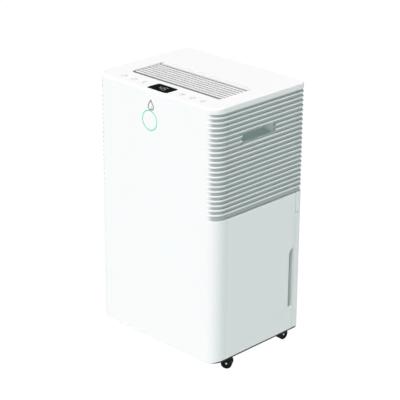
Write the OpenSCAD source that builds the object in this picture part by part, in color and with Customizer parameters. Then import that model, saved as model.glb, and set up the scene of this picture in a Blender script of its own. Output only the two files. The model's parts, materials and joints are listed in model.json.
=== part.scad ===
// Portable dehumidifier: a tall casing on four castors, with a tank that slides out of its right side.
// +X is the tank side, -Y is the front, +Z is up, and the origin is on the floor below the middle.

/* [Casing] */
// Width of the casing, side to side
body_w = 340; // [283:1:408]
// Depth of the casing, front to back
body_d = 261; // [217:1:314]
// Height of the casing, without the castors
body_h = 543; // [452:1:652]
// Radius of the two front corners
front_r = 29; // [24:1:35]
// Radius of the two rear corners
rear_r = 14; // [11:1:17]
// Wall thickness of the moulded covers
wall = 2.5; // [2:0.1:3]
// Width of the joint line between two covers
seam = 0.7; // [0.4:0.1:1]
// How far the front cover wraps round the sides
front_wrap = 36.5; // [34:0.5:44]
// How far the rear covers wrap round the sides
rear_wrap = 22.5; // [20:0.5:27]
// Height of the plain rim above the ribs
rim_h = 11.5; // [9.5:0.5:14]
// Distance of the joint between the two rear covers below the ribs
rear_split_drop = 44.5; // [38:0.5:53.5]

/* [Ribs] */
// Number of raised ribs round the upper casing
rib_count = 21; // [18:1:24]
// Distance from one rib to the next
rib_pitch = 10; // [8.4:0.1:12]
// Height of one rib
rib_t = 2.8; // [2:0.1:3.5]
// Depth of the grooves between the ribs
rib_depth = 3; // [2.5:0.1:3.6]
// Plain band between the lower casing and the middle of the lowest rib
rib_foot = 12.5; // [10.5:0.5:15]
// Plain band between the middle of the top rib and the rim
rib_head = 7.5; // [6:0.5:9]

/* [Top] */
// Length of the air outlet, side to side
outlet_w = 255; // [213:1:260]
// Width of the air outlet, front to back
outlet_d = 96.5; // [81:0.5:100]
// Distance of the air outlet behind the front face
outlet_back = 55.5; // [50:0.5:60]
// Distance from one outlet slat to the next
slat_pitch = 10; // [8.4:0.1:12]
// Width of one outlet slat
slat_w = 6.8; // [5.7:0.1:7.5]
// How far the outlet slats lie below the top face
slat_drop = 2; // [1.7:0.1:2.4]
// Width of the plain strip behind the outlet slats
outlet_strip = 12.5; // [10.5:0.5:15]
// Width of the display window
display_w = 56.5; // [47:0.5:64]
// Depth of the display window, front to back
display_d = 36; // [30:0.5:40]
// Distance from the front face to the middle of the display and the touch keys
key_row = 25.5; // [22:0.5:27]
// Distance from one touch key to the next
key_pitch = 29; // [24:0.5:34]

/* [Front light ring] */
// Outer radius of the light ring
ring_r = 21.5; // [18:0.5:26]
// Width of the light ring
ring_t = 2; // [1.7:0.1:2.4]
// Sideways place of the light ring
ring_x = -10.5; // [-30:0.5:30]
// Depth of the light ring's middle below the top face
ring_drop = 63; // [53:1:75]

/* [Carry pockets] */
// Length of each carry pocket's mouth
pocket_len = 94.5; // [79:0.5:113]
// Height of each carry pocket's mouth
pocket_h = 26; // [22:0.5:31]
// Depth of each carry pocket
pocket_depth = 28; // [24:0.5:33]
// Depth of the mouth's lower edge below the top face
pocket_drop = 86.5; // [80:0.5:100]
// Distance from the front face to the front end of the mouth
pocket_back = 76.5; // [64:0.5:80]

/* [Water tank] */
// Width of the compressor bay beside the tank, from the left face
bay_w = 178; // [172:1:190]
// Free height left above the bail when it stands up inside the bay
bail_headroom = 15; // [10:0.5:30]
// Depth of the hollow tank front between the bucket and the outer face
tank_front_depth = 30; // [27:1:36]
// Height of the finger grip in the tank front
grip_h = 134; // [112:1:160]
// Width of the grip's mouth
grip_w = 15.5; // [13:0.5:18.5]
// Depth of the grip
grip_depth = 18; // [15:0.5:20]
// How far up the tank front the grip sits, from 0 at its foot to 1 at its head
grip_place = 0.17; // [0:0.01:0.6]
// Radius of the carrying bail's round bar
bail_r = 4; // [3.4:0.1:4.8]
// Radius of the pivots that carry the bail
bail_pin_r = 4; // [3.4:0.1:4.8]

/* [Fan and coils] */
// Outer radius of the fan wheel
fan_r = 70; // [58:1:74]
// Number of blades on the fan wheel
blade_count = 30; // [25:1:36]
// Radius of the motor shaft
shaft_r = 4; // [3.4:0.1:4.8]
// Radius of the compressor's shell
comp_r = 55; // [46:1:60]
// Height of the compressor's shell
comp_h = 180; // [150:1:190]
// Thickness of each coil, front to back
coil_t = 16; // [13:0.5:17]

/* [Drain and cable] */
// Outer radius of the drain spigot, which a hose pushes over
spigot_r = 7; // [6:0.1:8.4]
// Length of the drain spigot
spigot_len = 16; // [13:0.5:17]
// Width and height of the drain recess
drain_size = 46; // [40:1:55]
// Radius of the cable's way through its gland
cable_r = 3.5; // [3:0.1:4.2]

/* [Castors] */
// Radius of the castor wheels
wheel_r = 11.5; // [9.5:0.1:13.8]
// Width of one of a castor's two wheels
wheel_w = 6.5; // [5.4:0.1:7.8]
// Distance from a castor's swivel axis to its axle
trail = 12.5; // [10.5:0.1:15]
// Radius of the castor stems
stem_r = 4; // [3.4:0.1:4.8]
// Radius of the castor axles
axle_r = 2; // [1.7:0.1:2.4]

/* [Hidden] */
$fn = 64;

// Clearances: between parts that only lie beside each other, and round a turning pin
gap = 0.3;
pin_gap = 0.08;
far = 1000;

// Castor heights, from the floor up
castor_play = 0.8;
castor_plate_t = 2.6;
castor_plate_z = 2 * wheel_r + 0.6;
z_base = castor_plate_z + castor_plate_t + castor_play;
castor_x = body_w / 2 - 25.4;
castor_front_y = -body_d / 2 + 50.5;
castor_rear_y = body_d / 2 - 42.5;
// Each castor: side, row and the way its trail points at rest
CASTORS = [
    [castor_x, castor_front_y, 33],
    [-castor_x, castor_front_y, 70],
    [castor_x, castor_rear_y, 87],
    [-castor_x, castor_rear_y, 120],
];

// Casing heights
base_t = 3;
z_floor = z_base + base_t;
z_skin = z_floor + gap;
z_top = z_base + body_h;
z_rim = z_top - rim_h;
z_rib = z_rim - rib_head - rib_foot - (rib_count - 1) * rib_pitch;
z_split = z_rib - rear_split_drop;
front_lip = 4;
ring_seat = 1.6;
arc_steps = 10;

// Joint lines on the sides, as places along Y
y_face = -body_d / 2;
y_front = y_face + front_wrap;
y_rear = body_d / 2 - rear_wrap;
inset = wall + rib_depth;

// Tank bay
bay_floor_z = z_base + 25.5;
bay_x = bay_w - body_w / 2;
bay_y0 = y_front + 1;
bay_y1 = y_rear - 0.5;
bay_roof_z = z_rib;
bay_end_x = body_w / 2 - tank_front_depth - 1;
bay_side = wall + 5.5;
bucket_x0 = bay_x + wall + 3.5;
bucket_x1 = body_w / 2 - tank_front_depth;
bucket_y0 = bay_y0 + bay_side;
bucket_y1 = bay_y1 - bay_side;
bucket_z0 = bay_floor_z + wall + 1;
bucket_r = 10;
lid_t = 2.5;
lid_lip = 6;
inlet_r = 14;

// Bail, folded level with its bar in front of the bucket, whose rim lies just above its pivots
bail_x = (bucket_x0 + bucket_x1) / 2;
bail_bar_x = bucket_x1 + bail_r + 2;
bail_z = bay_roof_z - wall - bail_headroom - bail_r - (bail_bar_x - bail_x);
bail_arm_t = 2.6;
bail_eye_r = bail_pin_r + 3;
bucket_top = bail_z + 12;

// Float, hung from two ears on the bucket's inner wall
float_x = bucket_x0 + wall + 6.5;
float_z = bucket_top - 16;
float_y = (bucket_y0 + bucket_y1) / 2;
float_half = 20;
float_pin_r = 2.4;
float_ear_t = 2.5;
float_top = float_z - 2.5;
float_len = 36;
float_h = 32;

// Deck, fan and coils
deck_z = z_rib + 0.5;
deck_t = 2.5;
deck_top = deck_z + deck_t;
outlet_y0 = y_face + outlet_back;
outlet_y1 = outlet_y0 + outlet_d;
slat_t = 8;
grille_h = slat_drop + slat_t + 2;
duct_y0 = outlet_y0 - 2;
duct_y1 = outlet_y1 + 2;
duct_top = z_top - grille_h;
duct_x = outlet_w / 2;
pocket_hook = 12;
mouth_z = z_top - pocket_drop + pocket_h + pocket_hook + wall + 2;
case_r = fan_r + 18;
fan_z = deck_top + 2 + case_r;
motor_r = 34;
motor_len = 20;
shroud_t = 2;
coil_y1 = y_rear - 4;
evaporator_y = coil_y1 - coil_t;
condenser_y = evaporator_y - 4 - coil_t;
coil_x = body_w / 2 - 52;
coil_z0 = deck_top + 7;
coil_z1 = z_top - 24;
tube_rows = 6;
tube_r = 3.5;
tube_end = 8;
tray_y0 = condenser_y - 4;
tray_y1 = y_rear - 0.5;
tray_x = coil_x + tube_end + 8;
drip_x = bucket_x0 + 46;
drip_y = y_rear - 28;
drip_r = 6;

// Compressor and its piping
comp_x = -body_w / 2 + wall + 80;
comp_y = (y_front + y_rear) / 2 - 2;
comp_z = z_floor + 15;
comp_top = comp_z + 6 + comp_h;
foot_r = 11;
foot_reach = comp_r + 13;
pipe_r = 4;
riser_x = -tray_x - 12;

// Drain recess at the rear
drain_x = -body_w / 4 + 15;
drain_z = z_split - 44;
drain_depth = 24;
door_t = 2;
door_pin_r = 1.2;
door_y = body_d / 2 - 2.2;
door_z = drain_z + drain_size / 2 - 2.8;

screw_x = body_w / 2 - rear_r - 8;
screw_z0 = z_base + 28;
screw_z1 = z_split - 14;
screw_r = 2;

function rib_z(i) = z_rib + rib_foot + i * rib_pitch;

function arc(c, r, a0, a1) =
    [for (i = [0 : arc_steps]) let (a = a0 + (a1 - a0) * i / arc_steps) c + r * [cos(a), sin(a)]];

// Plan of the casing, drawn in by dx at the sides and dy at the front and back, with corners smaller by dr
module plan(dx, dy, dr) {
    x = body_w / 2 - dx;
    y = body_d / 2 - dy;
    f = front_r - dr;
    r = rear_r - dr;
    polygon(concat(
        arc([x - f, f - y], f, -90, 0), arc([x - r, y - r], r, 0, 90),
        arc([r - x, y - r], r, 90, 180), arc([f - x, f - y], f, 180, 270)
    ));
}

module slab(z0, z1, dx = 0, dy = 0, dr = 0)
    translate([0, 0, z0]) linear_extrude(z1 - z0) plan(dx, dy, dr);

// A box between two opposite corners
module block(a, b) translate(a) cube(b - a);

// A flat plate with rounded corners, between two corners in plan
module plate(a, b, r, z0, z1)
    translate([0, 0, z0]) linear_extrude(z1 - z0) polygon(concat(
        arc([b[0] - r, a[1] + r], r, -90, 0), arc([b[0] - r, b[1] - r], r, 0, 90),
        arc([a[0] + r, b[1] - r], r, 90, 180), arc([a[0] + r, a[1] + r], r, 180, 270)
    ));

// Round bars along X and along Y, from a point
module bar_x(p, r, len) translate(p) rotate([0, 90, 0]) cylinder(r = r, h = len);
module bar_y(p, r, len) translate(p) rotate([-90, 0, 0]) cylinder(r = r, h = len);

// A straight run of pipe between two points
module pipe(p, q, r) {
    v = q - p;
    translate(p) rotate([0, acos(v[2] / norm(v)), atan2(v[1], v[0])]) cylinder(r = r, h = norm(v));
}

// A pipe through a list of points, with a swelled brazed joint at each bend
module pipe_run(points, r) {
    for (i = [0 : len(points) - 2]) pipe(points[i], points[i + 1], r);
    for (i = [1 : len(points) - 2]) translate(points[i]) sphere(r = 1.3 * r);
}

// The whole moulded casing: plain below, grooved and ribbed above, closed by the top
module casing()
    difference() {
        union() {
            slab(z_skin, z_rib);
            slab(z_rib, z_rim, rib_depth);
            for (i = [0 : rib_count - 1]) slab(rib_z(i) - rib_t / 2, rib_z(i) + rib_t / 2);
            slab(z_rim, z_top);
        }
        slab(z_skin - 1, z_rib - wall, wall, wall, wall);
        slab(z_rib - wall - 1, z_top - wall, inset, wall, wall);
    }

// What lies behind, in front of, above and below a joint line
module behind(y) block([-far, y, -far], [far, far, far]);
module before(y) block([-far, -far, -far], [far, y, far]);
module above(z) block([-far, -far, z], [far, far, far]);
module below(z) block([-far, -far, -far], [far, far, z]);

// The front cover's tongue, which carries the flat face up to the top edge
module front_tongue(grow)
    block([-body_w / 2 + front_r - grow, y_face - 1 - grow, z_rim - 1],
        [body_w / 2 - front_r + grow, y_face + wall + grow, z_top - front_lip + grow]);

// The light ring's band, wider by grow on both edges, from the front face inwards
module ring_band(grow, depth)
    difference() {
        bar_y([ring_x, y_face - (grow > 0 ? 1 : 0), z_top - ring_drop], ring_r + grow, depth + (grow > 0 ? 1 : 0));
        bar_y([ring_x, y_face - 2, z_top - ring_drop], ring_r - ring_t - grow, depth + 4);
    }

module front_cover() color([0.97, 0.98, 0.98])
    difference() {
        union() {
            difference() {
                casing();
                above(z_rim - seam / 2);
            }
            intersection() {
                casing();
                front_tongue(0);
            }
        }
        behind(y_front - seam / 2);
        ring_band(0.05, ring_seat);
    }

module light_ring() color([0.65, 0.92, 0.85]) ring_band(0, ring_seat);

module ring_light_board() color([0.15, 0.4, 0.25])
    difference() {
        bar_y([ring_x, y_face + wall, z_top - ring_drop], ring_r + 3, 1.6);
        bar_y([ring_x, y_face + wall - 1, z_top - ring_drop], ring_r - 7, 3);
    }

// Mouth of the carry pocket, cut through the ribs on the side given by s
module pocket_mouth(s, grow)
    block([min(s * (body_w / 2 - inset - 1), s * far), y_face + pocket_back - grow, z_top - pocket_drop - grow],
        [max(s * (body_w / 2 - inset - 1), s * far), y_face + pocket_back + pocket_len + grow,
            z_top - pocket_drop + pocket_h + grow]);

module side_panel(s, z0)
    difference() {
        casing();
        before(y_front + seam / 2);
        behind(y_rear - seam / 2);
        above(z_rim - seam / 2);
        below(z0);
        block([min(0, -s * far), -far, 0], [max(0, -s * far), far, far]);
        pocket_mouth(s, 0);
    }

module left_side_panel() color([0.79, 0.84, 0.83]) side_panel(-1, 0);

module right_side_panel() color([0.79, 0.84, 0.83]) side_panel(1, z_rib + seam);

// The pocket behind the mouth: an undercut cup that fingers hook upwards into
module carry_pocket(s) {
    y0 = y_face + pocket_back;
    y1 = y0 + pocket_len;
    z0 = z_top - pocket_drop;
    x0 = body_w / 2 - pocket_depth;
    x1 = body_w / 2 - inset;
    mirror([s < 0 ? 1 : 0, 0, 0]) difference() {
        block([x0 - wall, y0 - wall, z0 - wall], [x1 - 0.2, y1 + wall, z0 + pocket_h + pocket_hook + wall]);
        block([x0, y0, z0], [far, y1, z0 + pocket_h + pocket_hook]);
    }
}

module left_carry_pocket() color([0.6, 0.66, 0.66]) carry_pocket(-1);

module right_carry_pocket() color([0.6, 0.66, 0.66]) carry_pocket(1);

module top_cover() color([0.98, 0.99, 0.99])
    difference() {
        casing();
        below(z_rim + seam / 2);
        front_tongue(0.2);
        plate([-outlet_w / 2, outlet_y0], [outlet_w / 2, outlet_y1], 8, z_top - 10, z_top + 1);
        // Seat for the display window, with the way for its light
        for (d = [[0, window_t + 0.1], [3, 10]])
            plate([d[0] - display_w / 2, y_face + key_row - display_d / 2 + d[0]],
                [display_w / 2 - d[0], y_face + key_row + display_d / 2 - d[0]], 6 - d[0], z_top - d[1], z_top + 1);
    }

module outlet_grille() color([0.8, 0.85, 0.84]) {
    x = outlet_w / 2 - 0.2;
    y0 = outlet_y0 + 0.2;
    y1 = outlet_y1 - 0.2;
    rim = 2;
    difference() {
        plate([-x, y0], [x, y1], 7.8, z_top - grille_h, z_top - 0.4);
        plate([rim - x, y0 + rim], [x - rim, y1 - rim], 5.8, z_top - grille_h - 1, z_top);
    }
    // The plain strip, and the slats counted forward from it
    strip_y = outlet_y1 - outlet_strip;
    intersection() {
        plate([-x, y0], [x, y1], 7.8, z_top - slat_drop - 2, z_top - slat_drop);
        block([-x, strip_y, 0], [x, y1, far]);
    }
    for (i = [1 : floor((outlet_d - outlet_strip) / slat_pitch) - 1])
        block([0.5 - x, strip_y - (i - 0.25) * slat_pitch - slat_w / 2, z_top - slat_drop - slat_t],
            [x - 0.5, strip_y - (i - 0.25) * slat_pitch + slat_w / 2, z_top - slat_drop]);
    for (i = [-1 : 1])
        block([i * x / 2 - 1, y0 + 0.5, z_top - grille_h], [i * x / 2 + 1, y1 - 0.5, z_top - slat_drop - 3]);
}

module display_window() color([0.03, 0.03, 0.04])
    plate([0.2 - display_w / 2, y_face + key_row - display_d / 2 + 0.2],
        [display_w / 2 - 0.2, y_face + key_row + display_d / 2 - 0.2], 5.8, z_top - window_t - 0.1, z_top - 0.1);

// Three touch keys on each side of the display
function key_x(i) = (i < 3 ? -1 : 1) * (display_w / 2 + 26 + (i % 3) * key_pitch);
board_y = y_face + key_row - 18;
board_z = z_top - wall - 7;
window_t = 1.4;

module control_board() color([0.12, 0.35, 0.22])
    block([-key_x(5) - 12, board_y, board_z], [key_x(5) + 12, y_face + key_row + 18, board_z + 1.6]);

module touch_springs() color([0.8, 0.65, 0.35])
    for (i = [0 : 5])
        translate([key_x(i), y_face + key_row, board_z + 1.6]) cylinder(r = 4, h = z_top - wall - board_z - 1.6);

// Intake slots in the rear grille, in two columns
module intake_slots() {
    pitch = 9;
    count = floor((z_rim - z_split - 50) / pitch);
    for (i = [0 : count - 1], s = [0, 1])
        translate([s * (coil_x + 8) - coil_x - 4, body_d / 2 - wall - 1, z_split + 26 + i * pitch])
            cube([coil_x, wall + 2, 5.4]);
}

module rear_grille() color([0.8, 0.85, 0.84])
    difference() {
        casing();
        before(y_rear + seam / 2);
        above(z_rim - seam / 2);
        below(z_split + seam / 2);
        intake_slots();
    }

filter_z0 = z_split + 18;
filter_z1 = z_rim - 18;
filter_x = coil_x + 12;
filter_y = body_d / 2 - wall - 6.8;

module filter_frame() color([0.3, 0.34, 0.36])
    difference() {
        block([-filter_x, filter_y, filter_z0], [filter_x, filter_y + 6, filter_z1]);
        for (i = [0 : 2], j = [0 : 3])
            translate([6 - filter_x + i * (filter_x * 2 - 6) / 3, filter_y - 1,
                filter_z0 + 6 + j * (filter_z1 - filter_z0 - 6) / 4])
                cube([(filter_x * 2 - 6) / 3 - 6, 8, (filter_z1 - filter_z0 - 6) / 4 - 6]);
    }

module filter_mesh() color([0.2, 0.22, 0.24])
    block([4 - filter_x, filter_y + 6, filter_z0 + 4], [filter_x - 4, filter_y + 6.8, filter_z1 - 4]);

module rear_cover() color([0.8, 0.85, 0.84])
    difference() {
        union() {
            difference() {
                casing();
                before(y_rear + seam / 2);
                above(z_split - seam / 2);
                drain_box(0);
            }
            difference() {
                drain_box(2);
                drain_box(0);
            }
            for (x = [-screw_x, screw_x], z = [screw_z0, screw_z1])
                bar_y([x, y_rear + 1, z], 6, rear_wrap - 1 - wall / 2);
        }
        drain_pivot(1);
        bar_y([drain_x, 0, drain_z], spigot_r + gap, body_d / 2 - 10);
        for (x = [-screw_x, screw_x], z = [screw_z0, screw_z1]) {
            bar_y([x, 0, z], screw_r + gap, body_d);
            bar_y([x, body_d / 2 - 3, z], 4.2, 4);
        }
        bar_y([gland_x, 0, gland_z], cable_r + 3.2, body_d);
        bar_y([gland_x, body_d / 2 - 1.3, gland_z], cable_r + 5.7, 2);
    }

// The recess round the drain spigot, or its outside when grown by a wall
module drain_box(t)
    block([drain_x - drain_size / 2 - t, body_d / 2 - drain_depth + 2 - t, drain_z - drain_size / 2 - t],
        [drain_x + drain_size / 2 + t, t > 0 ? body_d / 2 - wall / 2 : far, drain_z + drain_size / 2 + t]);

// The door's hinge line: the hole through the recess's side walls when open is 1, else the pin
module drain_pivot(open)
    bar_x([drain_x - drain_size / 2 - (open ? 3 : 1.5), door_y, door_z],
        door_pin_r + open * pin_gap, drain_size + (open ? 6 : 3));

module drain_door() color([0.8, 0.85, 0.84]) {
    half = drain_size / 2 - 0.4;
    drain_pivot(0);
    bar_x([drain_x - half, door_y, door_z], 2, 2 * half);
    difference() {
        block([drain_x - half, body_d / 2 - door_t - 0.2, drain_z - half],
            [drain_x + half, body_d / 2 - 0.2, door_z]);
        bar_x([drain_x - 8, body_d / 2, drain_z - half], 5, 16);
    }
}

module drain_spigot() color([0.85, 0.86, 0.86])
    difference() {
        y0 = body_d / 2 - drain_depth + 2;
        union() {
            bar_y([drain_x, y0 - 14, drain_z], spigot_r - 0.5, 15 + spigot_len);
            bar_y([drain_x, y0 + 1, drain_z], spigot_r, spigot_len);
            bar_y([drain_x, y0 - 5, drain_z], spigot_r + 4, 3);
        }
        bar_y([drain_x, y0 - 15, drain_z], spigot_r - 2, 17 + spigot_len);
    }

gland_x = -body_w / 2 + 50;
gland_z = z_base + 48;

module cable_gland() color([0.1, 0.1, 0.11])
    difference() {
        union() {
            bar_y([gland_x, body_d / 2 - 1.3, gland_z], cable_r + 5.5, 1.2);
            bar_y([gland_x, body_d / 2 - 12, gland_z], cable_r + 3, 11);
        }
        bar_y([gland_x, 0, gland_z], cable_r, body_d);
    }

module cover_screws() color([0.55, 0.56, 0.58])
    for (x = [-screw_x, screw_x], z = [screw_z0, screw_z1]) {
        bar_y([x, y_rear + 1, z], screw_r, rear_wrap - 4);
        bar_y([x, body_d / 2 - 3, z], 3.8, 2);
    }

module base_tray() color([0.16, 0.17, 0.18])
    difference() {
        union() {
            slab(z_base, z_floor, 0.8, 0.8, 0.8);
            difference() {
                slab(z_floor - 1, z_floor + 12, wall + gap, wall + gap, wall + gap);
                slab(z_floor - 2, z_floor + 13, wall + 2.3, wall + 2.3, wall + 2.3);
                block([bay_x, y_front - 3, z_floor - gap], [far, y_rear + 3, far]);
            }
            // Sockets for the castor stems, which also carry the tank bay
            for (c = CASTORS)
                translate([c[0], c[1], z_floor - 1]) cylinder(r = stem_r + 4.5, h = bay_floor_z - z_floor + 1);
            // Ribs under the tank bay
            for (y = [bay_y0 + 25, bay_y1 - 28])
                block([bay_x + 20, y, z_floor - 1], [bay_end_x - 4, y + 3, bay_floor_z]);
        }
        for (c = CASTORS) translate([c[0], c[1], 0]) cylinder(r = stem_r, h = far);
    }

module castor_stems() color([0.6, 0.61, 0.63])
    for (c = CASTORS) translate([c[0], c[1], castor_plate_z - 2]) cylinder(r = stem_r, h = z_floor + 18 - castor_plate_z);

// Places a castor's parts: the swivel axis at its corner, the trail along the castor's own +X
module at_castor(c) translate([c[0], c[1], 0]) rotate([0, 0, c[2]]) children();

module castor_fork(c) color([0.07, 0.07, 0.08])
    at_castor(c) difference() {
        hood_w = 2 * wheel_w + 6;
        union() {
            translate([3, 0, castor_plate_z]) cylinder(r = 16, h = castor_plate_t);
            translate([0, 0, castor_plate_z - 2]) cylinder(r = stem_r + 1.5, h = 3);
            block([1, -2.4, wheel_r], [trail + 3.5, 2.4, castor_plate_z + 1]);
            bar_y([trail, -2.4, wheel_r], axle_r + 2.5, 4.8);
            difference() {
                bar_y([trail, -hood_w / 2, wheel_r], wheel_r + 2.6, hood_w);
                bar_y([trail, -far / 2, wheel_r], wheel_r + 0.8, far);
                below(wheel_r + 3);
                block([-far, -far, -far], [1, far, far]);
                block([trail + 8.5, -far, -far], [far, far, far]);
            }
        }
        translate([0, 0, -1]) cylinder(r = stem_r + pin_gap, h = far);
        bar_y([trail, -far / 2, wheel_r], axle_r + pin_gap, far);
    }

module castor_wheels(c) color([0.09, 0.09, 0.1])
    at_castor(c) for (s = [-1, 1]) difference() {
        bar_y([trail, s > 0 ? 2.8 : -2.8 - wheel_w, wheel_r], wheel_r, wheel_w);
        bar_y([trail, -far / 2, wheel_r], axle_r, far);
        bar_y([trail, s > 0 ? wheel_w + 1.8 : -wheel_w - 3.8, wheel_r], wheel_r - 3.5, 2);
    }

module castor_axle(c) color([0.6, 0.61, 0.63])
    at_castor(c) bar_y([trail, -2.8 - wheel_w, wheel_r], axle_r, 2 * wheel_w + 5.6);

module mid_deck() color([0.86, 0.87, 0.87])
    difference() {
        slab(deck_z, deck_top, inset + 0.5, wall + 0.5, wall + 0.5);
        behind(y_rear - 0.2);
        translate([drip_x, drip_y, 0]) cylinder(r = drip_r + 2, h = far);
        block([riser_x - 7, condenser_y - 2, 0], [riser_x + 7, y_rear - 5, far]);
    }

module tank_bay() color([0.86, 0.87, 0.87])
    difference() {
        block([bay_x, bay_y0, bay_floor_z], [bay_end_x, bay_y1, bay_roof_z]);
        block([bay_x + wall, bay_y0 + wall, bay_floor_z + wall], [far, bay_y1 - wall, far]);
    }

module water_tank() color([0.75, 0.85, 0.9, 0.6])
    union() {
        difference() {
            plate([bucket_x0, bucket_y0], [bucket_x1, bucket_y1], bucket_r, bucket_z0, bucket_top);
            plate([bucket_x0 + wall, bucket_y0 + wall], [bucket_x1 - wall, bucket_y1 - wall],
                bucket_r - wall, bucket_z0 + wall, bucket_top + 1);
        }
        // Pivots for the bail
        bar_y([bail_x, bucket_y0 - 4.4, bail_z], bail_pin_r, 4.6);
        bar_y([bail_x, bucket_y1 - 0.2, bail_z], bail_pin_r, 4.6);
        // Ears for the float
        for (s = [-1, 1]) difference() {
            y = float_y + s * (float_half + 2 + float_ear_t / 2);
            block([bucket_x0 + wall / 2, y - float_ear_t / 2, float_z - 7],
                [float_x + 5, y + float_ear_t / 2, float_z + 7]);
            bar_y([float_x, y - 5, float_z], float_pin_r + pin_gap, 10);
        }
    }

module tank_lid() color([0.9, 0.91, 0.91])
    difference() {
        union() {
            plate([bucket_x0, bucket_y0], [bucket_x1, bucket_y1], bucket_r, bucket_top + 0.05, bucket_top + lid_t);
            difference() {
                plate([bucket_x0 + wall + gap, bucket_y0 + wall + gap], [bucket_x1 - wall - gap, bucket_y1 - wall - gap],
                    bucket_r - wall - gap, bucket_top - lid_lip, bucket_top + 1);
                plate([bucket_x0 + wall + 2, bucket_y0 + wall + 2], [bucket_x1 - wall - 2, bucket_y1 - wall - 2],
                    bucket_r - wall - 2, bucket_top - lid_lip - 1, bucket_top + 0.05);
                // Room for the float's ears
                block([bucket_x0, float_y - float_half - 8, 0], [float_x + 7, float_y + float_half + 8, bucket_top]);
            }
        }
        translate([drip_x, drip_y, 0]) cylinder(r = inlet_r, h = far);
        // Pouring corner
        plate([bucket_x1 - 42, bucket_y0 + 8], [bucket_x1 - 8, bucket_y0 + 34], 6, bucket_top - 1, bucket_top + lid_t + 1);
    }

module tank_bail() color([0.82, 0.84, 0.84])
    union() {
        for (y = [bucket_y0 - 0.6 - bail_arm_t, bucket_y1 + 0.6]) difference() {
            union() {
                bar_y([bail_x, y, bail_z], bail_eye_r, bail_arm_t);
                block([bail_x, y, bail_z - bail_r], [bail_bar_x, y + bail_arm_t, bail_z + bail_r]);
                bar_y([bail_bar_x, y, bail_z], bail_r, bail_arm_t);
            }
            bar_y([bail_x, y - 1, bail_z], bail_pin_r + pin_gap, bail_arm_t + 2);
        }
        bar_y([bail_bar_x, bucket_y0 - 0.6 - bail_arm_t, bail_z], bail_r, bucket_y1 - bucket_y0 + 1.2 + 2 * bail_arm_t);
    }

// The tank's hollow outer front, flush with the casing, with a finger grip along its rear edge
module tank_front() color([0.79, 0.84, 0.83]) {
    x0 = bucket_x1;
    x1 = body_w / 2;
    y0 = y_front + seam / 2;
    y1 = y_rear - seam / 2;
    z1 = z_rib - seam / 2;
    grip_low = bay_floor_z + 2 * wall;
    grip_z0 = grip_low + grip_place * (z_rib - grip_low - grip_h);
    grip_z1 = grip_z0 + grip_h;
    cup_y0 = y_rear - grip_w - 12;
    rib_t = 2;
    difference() {
        union() {
            difference() {
                union() {
                    block([x0 + 1, y0, bay_floor_z], [x1, y1, z1]);
                    block([x1 - wall, y0, z_skin], [x1, y1, z1]);
                }
                block([x0, y0 + rib_t, bay_floor_z + rib_t], [x1 - wall, y1 - rib_t, z1 - rib_t]);
            }
            block([x1 - grip_depth - rib_t, cup_y0 - rib_t, grip_z0 - rib_t], [x1 - 1, y1, grip_z1 + rib_t]);
            for (y = [bucket_y0 + 15, bucket_y1 - 40])
                block([x0, y, bay_floor_z + 8], [x1 - 1, y + rib_t, bail_z - 14]);
        }
        block([x1 - grip_depth, cup_y0, grip_z0], [x1 - wall, y1 - 1.2, grip_z1]);
        translate([x1 - wall - 1, 0, 0]) rotate([90, 0, 90])
            linear_extrude(wall + 2) polygon(concat(
                [[y1 - 1.2, grip_z0], [y1 - 1.2, grip_z1]],
                arc([y_rear - grip_w + 12, grip_z1 - 12], 12, 90, 180),
                arc([y_rear - grip_w + 4, grip_z0 + 4], 4, 180, 270)
            ));
    }
}

module float_arm() color([0.85, 0.86, 0.86])
    union() {
        bar_y([float_x, float_y - float_half - 2 - float_ear_t, float_z], float_pin_r,
            2 * (float_half + 2 + float_ear_t));
        bar_y([float_x, float_y - float_half, float_z], float_pin_r + 2, 2 * float_half);
        block([float_x, float_y - float_half, float_top], [float_x + float_len + 3, float_y + float_half, float_z + 1]);
    }

module float_block() color([0.95, 0.95, 0.93])
    difference() {
        block([float_x + 6, float_y - float_half, float_top - float_h],
            [float_x + float_len + 3, float_y + float_half, float_top]);
        translate([float_x + 12, float_y, float_top - 5]) cylinder(r = 4, h = 6);
    }

module float_magnet() color([0.35, 0.36, 0.38])
    translate([float_x + 12, float_y, float_top - 5]) cylinder(r = 4, h = 5);

module float_sensor() color([0.15, 0.15, 0.16])
    block([bay_x - 7, float_y - 9, float_z - 14], [bay_x, float_y + 9, float_z + 10]);

module drip_tray() color([0.88, 0.89, 0.89])
    difference() {
        union() {
            block([-tray_x, tray_y0, deck_top], [tray_x, tray_y1, deck_top + 11]);
            translate([drip_x, drip_y, deck_z - 14]) cylinder(r = drip_r, h = deck_t + 15);
        }
        block([2 - tray_x, tray_y0 + 2, deck_top + 2], [tray_x - 2, tray_y1 - 2, far]);
        translate([drip_x, drip_y, 0]) cylinder(r = drip_r - 1.5, h = far);
    }

// Height of a coil's tube, counted from the lowest
function tube_z(i) = coil_z0 + (i + 0.5) * (coil_z1 - coil_z0) / tube_rows;

// A finned coil: a comb of fins crossed by tubes, with return bends at both ends
module coil(y) {
    difference() {
        block([-coil_x, y, coil_z0], [coil_x, y + coil_t, coil_z1]);
        for (i = [0 : 28], side = [0, 1])
            translate([6 - coil_x + i * (2 * coil_x - 12) / 29, side ? y + coil_t - 3 : y - 1, coil_z0 - 1])
                cube([(2 * coil_x - 12) / 29 - 2, 4, coil_z1 - coil_z0 + 2]);
    }
    for (i = [0 : tube_rows - 1])
        bar_x([-coil_x - 2, y + coil_t / 2, tube_z(i)], tube_r, 2 * coil_x + 4);
    for (i = [0 : tube_rows - 2], s = [i % 2 == 0 ? 1 : -1])
        translate([s * (coil_x + 1), y + coil_t / 2, 0])
            block([-3, -tube_r, tube_z(i)], [3, tube_r, tube_z(i + 1)]);
}

module evaporator() color([0.75, 0.77, 0.78]) coil(evaporator_y);

module condenser() color([0.72, 0.6, 0.5]) coil(condenser_y);

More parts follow.
